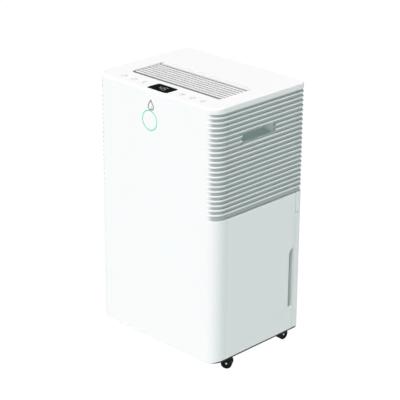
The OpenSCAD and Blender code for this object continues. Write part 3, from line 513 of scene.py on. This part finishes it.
parts = [(points, quads), window(1, -halfD, *spanX, *spanZ, path[0][:, 0], rows, [outCircle])]
disc, discTris = flatPatch(inCircle)
parts.append((lift(disc, 1, -halfD), discTris))
seatY = -halfD + ring["seat"]
profile = [(outCircle, -halfD), (outCircle, seatY), (inCircle, seatY), (inCircle, -halfD)]
seat = np.stack([lift(c, 1, y) for c, y in profile], 1)
parts.append((seat.reshape(-1, 3), gridQuads(ring["points"], 4, closeU=True)))
# painted shade only in the wall's grooves; the window, the ring's seat and the disc get none
recessAll = np.concatenate([recess] + [np.zeros(len(p[0])) for p in parts[1:]])
addPiece("frontCover", parts, "shell_white", "casing", ["front_cover"], wall=casing["wall"], recess=recessAll)

# side panels with the mouths of the carry pockets
pocketLo, pocketHi = nodeBox("right_carry_pocket")
shellT = 2.5 * mm
pocket = dict(y0=pocketLo[1] + shellT, y1=pocketHi[1] - shellT, z0=pocketLo[2] + shellT,
              z1=pocketLo[2] + shellT + 26 * mm, rearSlant=9 * mm, floorSlant=7 * mm, thick=2 * mm,
              round=1.6 * mm)
for side, lo, hi in ((1, rightLo, rightHi), (-1, leftLo, leftHi)):
    sideName = "right" if side > 0 else "left"
    cuts = [pocket["y0"] - lo[1], pocket["y1"] - lo[1], edgeCut, hi[1] - lo[1] - edgeCut]
    run = ("line", halfW, lo[1], halfW, hi[1], cuts) if side > 0 else (
        "line", -halfW, hi[1], -halfW, lo[1], hi[1] - lo[1] - np.array(cuts))
    rows = ribRows(lo[2], hi[2], pocket["z0"], pocket["z1"])
    mouth = [((-far, pocket["y0"], pocket["z0"]), (far, pocket["y1"], pocket["z1"]))]
    points, quads, recess = casingWall(outline(run), rows, lo[2] if side < 0 else None, mouth)
    addPiece(sideName + "Panel", [(points, quads)], "shell_grey", "casing", [sideName + "_side_panel"],
             wall=casing["wall"], recess=recess)
    # cup behind the mouth: its rear wall and floor slant in, its roof hooks up behind the panel
    x0, x1 = pocketLo[0] + shellT, pocketHi[0]
    y0, y1, yBack = pocket["y0"], pocket["y1"], pocket["y1"] - pocket["rearSlant"]
    z0, z2, zBack = pocket["z0"], pocketHi[2] - shellT, pocket["z0"] + pocket["floorSlant"]
    cup = np.array([(x1, y0, z0), (x1, y1, z0), (x1, y1, z2), (x1, y0, z2),
                    (x0, y0, zBack), (x0, yBack, zBack), (x0, yBack, z2), (x0, y0, z2)]) * (side, 1, 1)
    cupFaces = [(k, k + 4, (k + 1) % 4 + 4, (k + 1) % 4) for k in range(4)] + [(4, 7, 6, 5)]
    addPiece(sideName + "Pocket", [(cup, cupFaces)], "pocket_grey", "casing", [sideName + "_carry_pocket"],
             wall=pocket["thick"], bevel=pocket["round"], steps=3, flip=side > 0)
print("front cover, side panels and carry pockets")

# rear grille with its intake slots
slots = dict(pitch=9 * mm, high=5.4 * mm, wide=118 * mm, middle=8 * mm, first=25.65 * mm, count=23)
slotEdges = np.array([-slots["wide"] - slots["middle"] / 2, -slots["middle"] / 2, slots["middle"] / 2,
                      slots["wide"] + slots["middle"] / 2])
slotLows = grilleLo[2] + slots["first"] + np.arange(slots["count"]) * slots["pitch"]


def rearOutline(yStart, cuts):
    # right side, round corner, flat back with its cuts, round corner, left side
    cuts = np.concatenate([xRear - cuts, [edgeCut, 2 * xRear - edgeCut]])
    return outline(("line", halfW, yStart, halfW, yRear), ("arc", xRear, yRear, casing["rearR"], 0, 90),
                   ("line", xRear, halfD, -xRear, halfD, cuts),
                   ("arc", -xRear, yRear, casing["rearR"], 90, 180), ("line", -halfW, yRear, -halfW, yStart))


rearPath = rearOutline(grilleLo[1], slotEdges)
rows = ribRows(grilleLo[2], grilleHi[2], *slotLows, *(slotLows + slots["high"]))
openings = [((a, 0, z), (b, far, z + slots["high"])) for z in slotLows
            for a, b in (slotEdges[:2], slotEdges[2:])]
points, quads, recess = casingWall(rearPath, rows, grilleLo[2], openings)
addPiece("rearGrille", [(points, quads)], "shell_grey", "rear_grille", ["rear_grille"], wall=casing["wall"],
         recess=recess)

# rear cover with the drain recess, the screw wells and the cable's way out
doorLo, doorHi = nodeBox("drain_door")
screwLo, screwHi = nodeBox("cover_screws")
glandLo, glandHi = nodeBox("cable_gland")
well = dict(x0=doorLo[0] + 1.1 * mm, x1=doorHi[0] - 1.1 * mm, z0=doorLo[2] - 0.4 * mm,
            z1=doorLo[2] + 45.6 * mm, depth=22 * mm, lip=1.5 * mm, wall=2 * mm, spigotR=7.2 * mm)
screw = dict(headR=3.8 * mm, wellR=4.2 * mm, window=6.5 * mm)
gland = dict(holeR=9.2 * mm, window=11 * mm)
screwX = screwHi[0] - screw["headR"]
screwZ = (screwLo[2] + screw["headR"], screwHi[2] - screw["headR"])
screwSpots = [(s * screwX, z) for s in (-1, 1) for z in screwZ]
glandSpot = ((glandLo[0] + glandHi[0]) / 2, (glandLo[2] + glandHi[2]) / 2)
spots = [(x, z, screw["wellR"], screw["window"]) for x, z in screwSpots]
spots.append((*glandSpot, gland["holeR"], gland["window"]))
xCuts = np.concatenate([[well["x0"], well["x1"]]] + [[x - h, x + h] for x, z, r, h in spots])
zCuts = np.concatenate([[well["z0"], well["z1"]]] + [[z - h, z + h] for x, z, r, h in spots])
coverPath = rearOutline(rearLo[1], xCuts)
rows = ribRows(zSkin, rearHi[2], *zCuts)
drops = [((well["x0"], 0, well["z0"]), (well["x1"], far, well["z1"]))]
drops += [((x - h, 0, z - h), (x + h, far, z + h)) for x, z, r, h in spots]
points, quads, recess = casingWall(coverPath, rows, zSkin, drops)
parts = [(points, quads)]
for x, z, r, h in spots:
    patch, tris = window(1, halfD, x - h, x + h, z - h, z + h, coverPath[0][:, 0], rows,
                         [circle(x, z, r, 40)])
    parts.append((patch, tris[:, ::-1]))
# painted shade only in the wall's grooves, none on the patches round the screws and the gland
recessAll = np.concatenate([recess] + [np.zeros(len(p[0])) for p in parts[1:]])
addPiece("rearCover", parts, "shell_grey", "casing", ["rear_cover"], wall=casing["wall"], recess=recessAll)
# the open box of the drain recess
wellLoop = np.array([(well["x0"], well["z0"]), (well["x1"], well["z0"]), (well["x1"], well["z1"]),
                     (well["x0"], well["z1"])])
spigotLo, spigotHi = nodeBox("drain_spigot")
spigotX, spigotZ = (spigotLo[0] + spigotHi[0]) / 2, (spigotLo[2] + spigotHi[2]) / 2
back, backTris = flatPatch(wellLoop, [circle(spigotX, spigotZ, well["spigotR"], 32)])
walls = np.vstack([lift(wellLoop, 1, halfD - well["lip"]), lift(wellLoop, 1, halfD - well["depth"])])
wallFaces = [(k, k + 4, (k + 1) % 4 + 4, (k + 1) % 4) for k in range(4)]
parts = [(walls, wallFaces), (lift(back, 1, halfD - well["depth"]), backTris[:, ::-1])]
addPiece("drainRecess", parts, "shell_grey", "casing", wall=well["wall"])
print("rear grille, rear cover and drain recess")

# top cover: side band, rounded edge, flat top with the outlet and the display's seat
outletLo, outletHi = nodeBox("outlet_grille")
displayLo, displayHi = nodeBox("display_window")
seats = dict(outletGap=0.2 * mm, outletR=8 * mm, displayGap=0.12 * mm, displayR=5.9 * mm)
loopPath = outline(frontFlat, ("arc", xArc, -yArc, casing["frontR"], -90, 0),
                   ("line", halfW, -yArc, halfW, yRear), ("arc", xRear, yRear, casing["rearR"], 0, 90),
                   ("line", xRear, halfD, -xRear, halfD), ("arc", -xRear, yRear, casing["rearR"], 90, 180),
                   ("line", -halfW, yRear, -halfW, -yArc), ("arc", -xArc, -yArc, casing["frontR"], 180, 270))
pts, nrm = loopPath[0][:-1], loopPath[1][:-1]
radius = casing["sideRound"] + (casing["frontRound"] - casing["sideRound"]) * smoothStep(-nrm[:, 1], 0.0, 1.0)
steps = 8
turn = np.radians(np.linspace(0, 90, steps + 1))
levels = [topLo[2], tongueTop + 0.12 * mm]
band = np.zeros((len(pts), 2 + steps + 1 + 1, 3))
for k, z in enumerate(levels):
    band[:, k] = np.column_stack([pts, np.full(len(pts), z)])
for k, t in enumerate(turn):
    inset = radius * (1 - math.cos(t))
    band[:, 2 + k, :2] = pts - nrm * inset[:, None]
    band[:, 2 + k, 2] = np.maximum(zTop - radius + radius * math.sin(t), levels[1] + 1e-5 * (k + 1))
band[:, -1, :2] = pts - nrm * (radius + 0.5 * mm)[:, None]
band[:, -1, 2] = zTop
quads = gridQuads(len(pts), band.shape[1], closeU=True)
middle = band.reshape(-1, 3)[quads].mean(1)
skip = (middle[:, 2] < levels[1]) & (middle[:, 1] < -halfD + 1e-5) & (np.abs(middle[:, 0]) < xArc)
inner = band[:, -1, :2]
outletHole = roundedRect(*(outletLo[:2] - seats["outletGap"]), *(outletHi[:2] + seats["outletGap"]),
                         seats["outletR"], 10)
displayHole = roundedRect(*(displayLo[:2] - seats["displayGap"]), *(displayHi[:2] + seats["displayGap"]),
                          seats["displayR"], 10)
flat, tris = flatPatch(inner, [outletHole, displayHole])
parts = [(band.reshape(-1, 3), quads[~skip]), (lift(flat, 2, zTop), tris)]
addPiece("topCover", parts, "shell_white", "casing", ["top_cover"], wall=casing["wall"],
         recess=np.zeros(band.shape[0] * band.shape[1] + len(flat)))
print("top cover")


def plateSolid(loop, axis, low, high, edge=0.0, steps=3):
    # a closed plate: the outline carried up, then drawn in along a quarter round at its high side
    middle = (loop.min(0) + loop.max(0)) / 2
    half = (loop.max(0) - loop.min(0)) / 2
    rings = []
    turn = np.radians(np.linspace(0, 90, steps + 1))
    stops = [(0, low)]
    if edge:
        stops += [(edge * (1 - math.cos(t)), high - edge + edge * math.sin(t)) for t in turn]
    else:
        stops.append((0, high))
    for inset, level in stops:
        rings.append(lift(middle + (loop - middle) * (1 - inset / half), axis, level))
    body = np.stack(rings, 1)
    n, m = body.shape[:2]
    faces = gridQuads(n, m, closeU=True)
    # lift keeps the turning sense for x and z, and mirrors it for y
    if axis == 1:
        faces = faces[:, ::-1]
    caps = [[k * m for k in range(n)][::-1], [k * m + m - 1 for k in range(n)]]
    if axis == 1:
        caps = [c[::-1] for c in caps]
    return body.reshape(-1, 3), faces.tolist() + caps


def ringSolid(outer, inner, axis, low, high, dome=0.0):
    # a closed band between two matching outlines, domed on its high side
    rings = [lift(outer, axis, low), lift(outer, axis, high)]
    if dome:
        for t in np.linspace(0.2, 0.8, 4):
            rings.append(lift(outer + (inner - outer) * t, axis, high + dome * math.sin(math.pi * t)))
    rings += [lift(inner, axis, high), lift(inner, axis, low)]
    body = np.stack(rings, 1)
    faces = gridQuads(body.shape[0], body.shape[1], closeU=True, closeV=True)
    return body.reshape(-1, 3), faces[:, ::-1] if axis == 1 else faces


def extrusion(profile, axis, low, high):
    # a closed bar: a flat outline carried along an axis
    a, b = lift(profile, axis, low), lift(profile, axis, high)
    n = len(profile)
    body = np.stack([a, b], 1).reshape(-1, 3)
    faces = gridQuads(n, 2, closeU=True)
    caps = [list(range(0, 2 * n, 2))[::-1], list(range(1, 2 * n, 2))]
    if axis == 1:
        faces, caps = faces[:, ::-1], [c[::-1] for c in caps]
    return body, faces.tolist() + caps


face = -halfD
ringOut = circle(ring["x"], ring["z"], ring["r"], ring["points"])
ringIn = circle(ring["x"], ring["z"], ring["r"] - ring["width"], ring["points"])
addPiece("lightRing", [ringSolid(ringOut, ringIn, 1, seatY, face)], "ring_mint", "casing", ["light_ring"],
         flip=True)
glass = dict(round=5.8 * mm, edge=0.3 * mm)
glassLoop = roundedRect(*displayLo[:2], *displayHi[:2], glass["round"], 10)
addPiece("displayWindow", [plateSolid(glassLoop, 2, displayLo[2], displayHi[2], glass["edge"])],
         "window_black", "casing", ["display_window"])


def stroke(points2d, width, closed=False):
    # a line of even width through flat points, as two matching edges
    p = np.asarray(points2d, float)
    if closed:
        d = np.roll(p, -1, 0) - np.roll(p, 1, 0)
    else:
        d = np.gradient(p, axis=0)
    n = np.stack([-d[:, 1], d[:, 0]], -1) / np.linalg.norm(d, axis=1)[:, None]
    return p + n * width / 2, p - n * width / 2


def strokeSolid(points2d, width, place, closed=False, thick=0.04 * mm):
    # place puts flat points and a height above the surface into space
    left, right = stroke(points2d, width, closed)
    rings = np.stack([place(left, 0), place(left, thick), place(right, thick), place(right, 0)], 1)
    faces = gridQuads(len(left), 4, closeU=closed, closeV=True)[:, ::-1].tolist()
    if not closed:
        last = (len(left) - 1) * 4
        faces += [[3, 2, 1, 0], [last, last + 1, last + 2, last + 3]]
    return rings.reshape(-1, 3), faces


def arcLine(cx, cy, r, a0, a1, n=20):
    a = np.radians(np.linspace(a0, a1, n))
    return np.stack([cx + r * np.cos(a), cy + r * np.sin(a)], -1)


def onTop(cx, cy, level=zTop):
    # flat x and y about a middle, height above the level as z
    return lambda p, h: np.column_stack([cx + p[:, 0], cy + p[:, 1], np.full(len(p), level + h)])


def onFace(cx, cz):
    # flat x and y as x and z about a middle, height as the distance in front of the face
    return lambda p, h: np.column_stack([cx + p[:, 0], np.full(len(p), face - h), cz + p[:, 1]])


icons = dict(size=5.2 * mm, line=1.15 * mm, row=(displayLo[1] + displayHi[1]) / 2, rise=2 * mm,
             first=54.25 * mm, pitch=29 * mm, dash=6 * mm, dashDrop=6.5 * mm)
s, w = icons["size"], icons["line"]
boxLine = np.array([(-0.8, -0.9), (0.8, -0.9), (0.8, 0.1), (-0.8, 0.1), (-0.8, -0.9)]) * s
iconLines = [
    [arcLine(0, 0, s, -50, 230), [(0, s * 1.15), (0, 0.2 * s)]],  # power
    [arcLine(0, 0, s, 0, 342, 28), [(0, 0.6 * s), (0, 0), (0.5 * s, 0)]],  # timer
    [arcLine(0.42 * s, 0, 0.85 * s, 60, 300), arcLine(1.15 * s, 0, 1.05 * s, 130, 230)],  # night
    [[(-s, h * s), (s, h * s)] for h in (-0.6, 0, 0.6)],  # fan speed
    [arcLine(0, -0.25 * s, 0.75 * s, 130, 410), [(-0.48 * s, 0.32 * s), (0, 1.1 * s)],
     [(0.48 * s, 0.32 * s), (0, 1.1 * s)]],  # drop
    [boxLine, arcLine(0, 0.1 * s, 0.5 * s, 0, 180)],  # lock
]
steps = icons["first"] + np.arange(3) * icons["pitch"]
iconX = [*-steps[::-1], *steps]
dash = [(-icons["dash"] / 2, 0), (icons["dash"] / 2, 0)]
parts = []
for x, lines in zip(iconX, iconLines):
    for line in lines:
        parts.append(strokeSolid(line, w, onTop(x, icons["row"] + icons["rise"])))
    parts.append(strokeSolid(dash, 0.8 * w, onTop(x, icons["row"] - icons["dashDrop"])))
addPiece("touchIcons", parts, "print_grey", "casing")

# a water drop on the face, above the ring
mark = dict(x=-7 * mm, z=ring["z"] + 33 * mm, high=20 * mm, plump=1.08, point=1.6, line=2.1 * mm,
            glintR=3.3 * mm, glintDrop=3.4 * mm, glintLine=1.2 * mm)
# teardrop: half the height times the cosine upwards, and times the sine sideways, drawn to a point above
t = np.linspace(0, 2 * math.pi, 65)[:-1]
sideways = mark["plump"] * np.sin(t) * np.sin(t / 2) ** mark["point"]
drop = mark["high"] / 2 * np.stack([sideways, np.cos(t)], -1)
glint = arcLine(0, -mark["glintDrop"], mark["glintR"], -75, 5, 12)
place = onFace(mark["x"], mark["z"])
parts = [strokeSolid(drop, mark["line"], place, True), strokeSolid(glint, mark["glintLine"], place)]
addPiece("dropMark", parts, "print_dark", "casing")

# two seven-bar digits behind the window's glass
digits = dict(high=14 * mm, wide=7.6 * mm, line=1.3 * mm, gap=0.45 * mm, text=("4", "5"), step=11.5 * mm,
              shift=0.5 * mm)
barsOf = {"4": "bcfg", "5": "acdfg"}
parts = []
hw, hh = digits["wide"] / 2, digits["high"] / 2
g = digits["gap"]
barLines = {"a": [(-hw + g, hh), (hw - g, hh)], "b": [(hw, hh - g), (hw, g)], "c": [(hw, -g), (hw, -hh + g)],
            "d": [(-hw + g, -hh), (hw - g, -hh)], "f": [(-hw, hh - g), (-hw, g)],
            "g": [(-hw + g, 0), (hw - g, 0)]}
for k, sign in enumerate(digits["text"]):
    place = onTop((k - 0.5) * digits["step"] + digits["shift"], icons["row"], displayHi[2])
    parts += [strokeSolid(barLines[bar], digits["line"], place) for bar in barsOf[sign]]
addPiece("displayDigits", parts, "digit_white", "casing")
print("light ring, display and prints")

outlet = dict(pitch=10 * mm, wide=6.8 * mm, deep=8 * mm, drop=2 * mm, count=7, round=7.8 * mm, rim=2 * mm,
              dome=0.3 * mm, strip=12.5 * mm, bars=(-1, 0, 1), barWide=2 * mm, barDrop=3 * mm)
outerLoop = roundedRect(*outletLo[:2], *outletHi[:2], outlet["round"], 10)
innerLoop = roundedRect(*(outletLo[:2] + outlet["rim"]), *(outletHi[:2] - outlet["rim"]),
                        outlet["round"] - outlet["rim"], 10)
parts = [ringSolid(outerLoop, innerLoop, 2, outletLo[2], outletHi[2] - outlet["dome"], outlet["dome"])]
slatTop = zTop - outlet["drop"]
stripY = outletHi[1] + seats["outletGap"] - outlet["strip"]
slatRound = np.array([0.6, 0.9, 0.9, 0.6]) * mm
slat = roundedRect(-outlet["wide"] / 2, -outlet["deep"], outlet["wide"] / 2, 0, slatRound, 4)
for k in range(outlet["count"]):
    y = stripY - (k + 0.75) * outlet["pitch"]
    parts.append(extrusion(slat + (y, slatTop), 0, outletLo[0] + 0.6 * mm, outletHi[0] - 0.6 * mm))
# the plain strip behind the slats, dished a little towards them
strip = np.array([(outletHi[1] - 0.5 * mm, slatTop - 2 * mm), (outletHi[1] - 0.5 * mm, zTop - 0.5 * mm),
                  (outletHi[1] - 3 * mm, slatTop + 0.5 * mm), (outletHi[1] - 7 * mm, slatTop),
                  (stripY, slatTop - 0.6 * mm), (stripY, slatTop - 2 * mm)])
parts.append(extrusion(strip, 0, outletLo[0] + 1.8 * mm, outletHi[0] - 1.8 * mm))
for k in outlet["bars"]:
    x = k * outletHi[0] / 2
    bar = roundedRect(x - outlet["barWide"] / 2, outletLo[1] + 0.6 * mm, x + outlet["barWide"] / 2,
                      outletHi[1] - 0.6 * mm, 0.4 * mm, 3)
    parts.append(plateSolid(bar, 2, outletLo[2], slatTop - outlet["barDrop"], 0.3 * mm))
# points below the slats' tops get painted shade, fully from 0.9 mm down
depth = slatTop - np.vstack([p for p, f in parts])[:, 2]
addPiece("outletGrille", parts, "grille_grey", "casing", ["outlet_grille"],
         recess=smoothStep(depth, 0, 0.9 * mm))
print("outlet grille")

grip = dict(high=134 * mm, low=52.19 * mm, wide=13.95 * mm, cupBack=12 * mm, depth=18 * mm, topR=12 * mm,
            lowR=4 * mm, rearR=0.8 * mm, rearLip=1.2 * mm, cupWall=1.1 * mm, cupRound=0.45 * mm)
tankFront = dict(wall=2.5 * mm, round=0.7 * mm, gap=0.05 * mm, shelf=22.2 * mm, frameWall=2 * mm,
                 webT=2 * mm, webFirst=19.4 * mm, webLast=44.4 * mm, webLow=8 * mm, webHigh=28 * mm)
y0, y1, z1 = tankLo[1], tankHi[1], tankHi[2]
gripZ0 = zSkin + grip["low"]
gripZ1 = gripZ0 + grip["high"]
gripY1 = y1 - grip["rearLip"]
gripY0 = gripY1 - grip["wide"]
gripRound = (grip["rearR"], grip["rearR"], grip["topR"], grip["lowR"])
mouthLoop = roundedRect(gripY0, gripZ0, gripY1, gripZ1, gripRound, 8)
panel = np.array([(y0, zSkin), (y1, zSkin), (y1, z1), (y0, z1)])
flat, tris = flatPatch(panel, [mouthLoop])
sheetPoints = lift(flat, 0, halfW)
addPiece("tankFrontPanel", [(sheetPoints, tris)], "shell_grey", "tank", ["tank_front"],
         wall=tankFront["wall"], bevel=tankFront["round"], recess=np.zeros(len(sheetPoints)))
# the frame and the two webs behind the panel, which hold it to the bucket
xBack, xSheet = tankLo[0] + 1 * mm, halfW - tankFront["wall"] - tankFront["gap"]
zShelf = zSkin + tankFront["shelf"]
t = tankFront["frameWall"]
frameOut = roundedRect(y0, zShelf, y1, z1, 0.5 * mm, 2)
frameIn = roundedRect(y0 + t, zShelf + t, y1 - t, z1 - t, 0.5 * mm, 2)
addPiece("tankFrontFrame", [ringSolid(frameOut, frameIn, 0, xBack, xSheet)], "shell_grey", "tank")
# the grip's cup: an open box behind the mouth
cupY0 = gripY0 - grip["cupBack"]
x0, x1 = halfW - grip["depth"], halfW - tankFront["wall"]
cup = np.array([(x1, cupY0, gripZ0), (x1, gripY1, gripZ0), (x1, gripY1, gripZ1), (x1, cupY0, gripZ1),
                (x0, cupY0, gripZ0), (x0, gripY1, gripZ0), (x0, gripY1, gripZ1), (x0, cupY0, gripZ1)])
addPiece("tankGripCup", [(cup, cupFaces)], "pocket_grey", "tank", wall=grip["cupWall"],
         bevel=grip["cupRound"], flip=True)
tankBoxLo, tankBoxHi = nodeBox("water_tank")
parts = []
web = roundedRect(tankLo[0] + tankFront["gap"], zShelf + tankFront["webLow"], xSheet,
                  tankBoxHi[2] - tankFront["webHigh"], 1 * mm, 3)
for y in (tankBoxLo[1] + tankFront["webFirst"], tankBoxHi[1] - tankFront["webLast"]):
    parts.append(extrusion(web, 1, y, y + tankFront["webT"]))
addPiece("tankFrontWebs", parts, "shell_grey", "tank")
print("tank front")

floorSize = 30.0
floorMesh = bpy.data.meshes.new("floor")
floorMesh.from_pydata([(-floorSize, -floorSize, 0), (floorSize, -floorSize, 0), (floorSize, floorSize, 0),
                       (-floorSize, floorSize, 0)], [], [(0, 1, 2, 3)])
floor = bpy.data.objects.new("floor", floorMesh)
bpy.context.scene.collection.objects.link(floor)
floorMat, tree, shader = newFinish("paleFloor")
shader.inputs["Base Color"].default_value = (0.02, 0.02, 0.02, 1)
shader.inputs["Roughness"].default_value = 0.9
shader.inputs["Specular IOR Level"].default_value = 0.0
shader.inputs["Emission Color"].default_value = (1, 1, 1, 1)
shader.inputs["Emission Strength"].default_value = 1.0
floorMesh.materials.append(floorMat)

light = dict(ambient=(0.04, 0.145, 0.135), horizon=(1, 1, 1), horizonTop=(0.07, 0.12), key=4.18,
             keyTint=(1, 0.835, 0.848), keyAngle=45, keySide=6, keyUp=66)
world = bpy.data.worlds.new("studio")
bpy.context.scene.world = world
world.use_nodes = True
tree = world.node_tree
coord = tree.nodes.new("ShaderNodeTexCoord")
split = tree.nodes.new("ShaderNodeSeparateXYZ")
ramp = tree.nodes.new("ShaderNodeValToRGB")
ramp.color_ramp.elements[0].position = light["horizonTop"][0]
ramp.color_ramp.elements[0].color = (*light["horizon"], 1)
ramp.color_ramp.elements[1].position = light["horizonTop"][1]
ramp.color_ramp.elements[1].color = (*light["ambient"], 1)
tree.links.new(coord.outputs["Generated"], split.inputs["Vector"])
tree.links.new(split.outputs["Z"], ramp.inputs["Fac"])
tree.links.new(ramp.outputs["Color"], tree.nodes["Background"].inputs["Color"])

key = bpy.data.lights.new("key", "SUN")
key.energy = light["key"]
key.color = light["keyTint"]
key.angle = math.radians(light["keyAngle"])
keyObject = bpy.data.objects.new("key", key)
bpy.context.scene.collection.objects.link(keyObject)
side, up = math.radians(light["keySide"]), math.radians(light["keyUp"])
toLight = Vector((math.sin(side) * math.cos(up), -math.cos(side) * math.cos(up), math.sin(up)))
keyObject.rotation_mode = "QUATERNION"
keyObject.rotation_quaternion = toLight.to_track_quat("Z", "Y")

view = dict(azimuth=44.92, elevation=22.24, roll=0.33, distance=3.1574, lens=136.79, shift=(0.0006, 0.0042),
            base=27 * mm)
a, e, roll = (math.radians(view[k]) for k in ("azimuth", "elevation", "roll"))
back = Vector((math.sin(a) * math.cos(e), -math.cos(a) * math.cos(e), math.sin(e)))
right = Vector((math.cos(a), math.sin(a), 0))
above = back.cross(right)
target = Vector((0, 0, (view["base"] + zTop) / 2)) + view["shift"][0] * right + view["shift"][1] * above
camera = bpy.data.cameras.new("camera")
camera.lens = view["lens"]
camera.clip_end = 200
cameraObject = bpy.data.objects.new("camera", camera)
bpy.context.scene.collection.objects.link(cameraObject)
cosRoll, sinRoll = math.cos(roll), math.sin(roll)
turned = Matrix([cosRoll * right + sinRoll * above, cosRoll * above - sinRoll * right, back]).transposed()
cameraObject.matrix_world = Matrix.Translation(target + view["distance"] * back) @ turned.to_4x4()
bpy.context.scene.camera = cameraObject
bpy.context.scene.view_settings.view_transform = "Standard"
print("floor, light and camera")
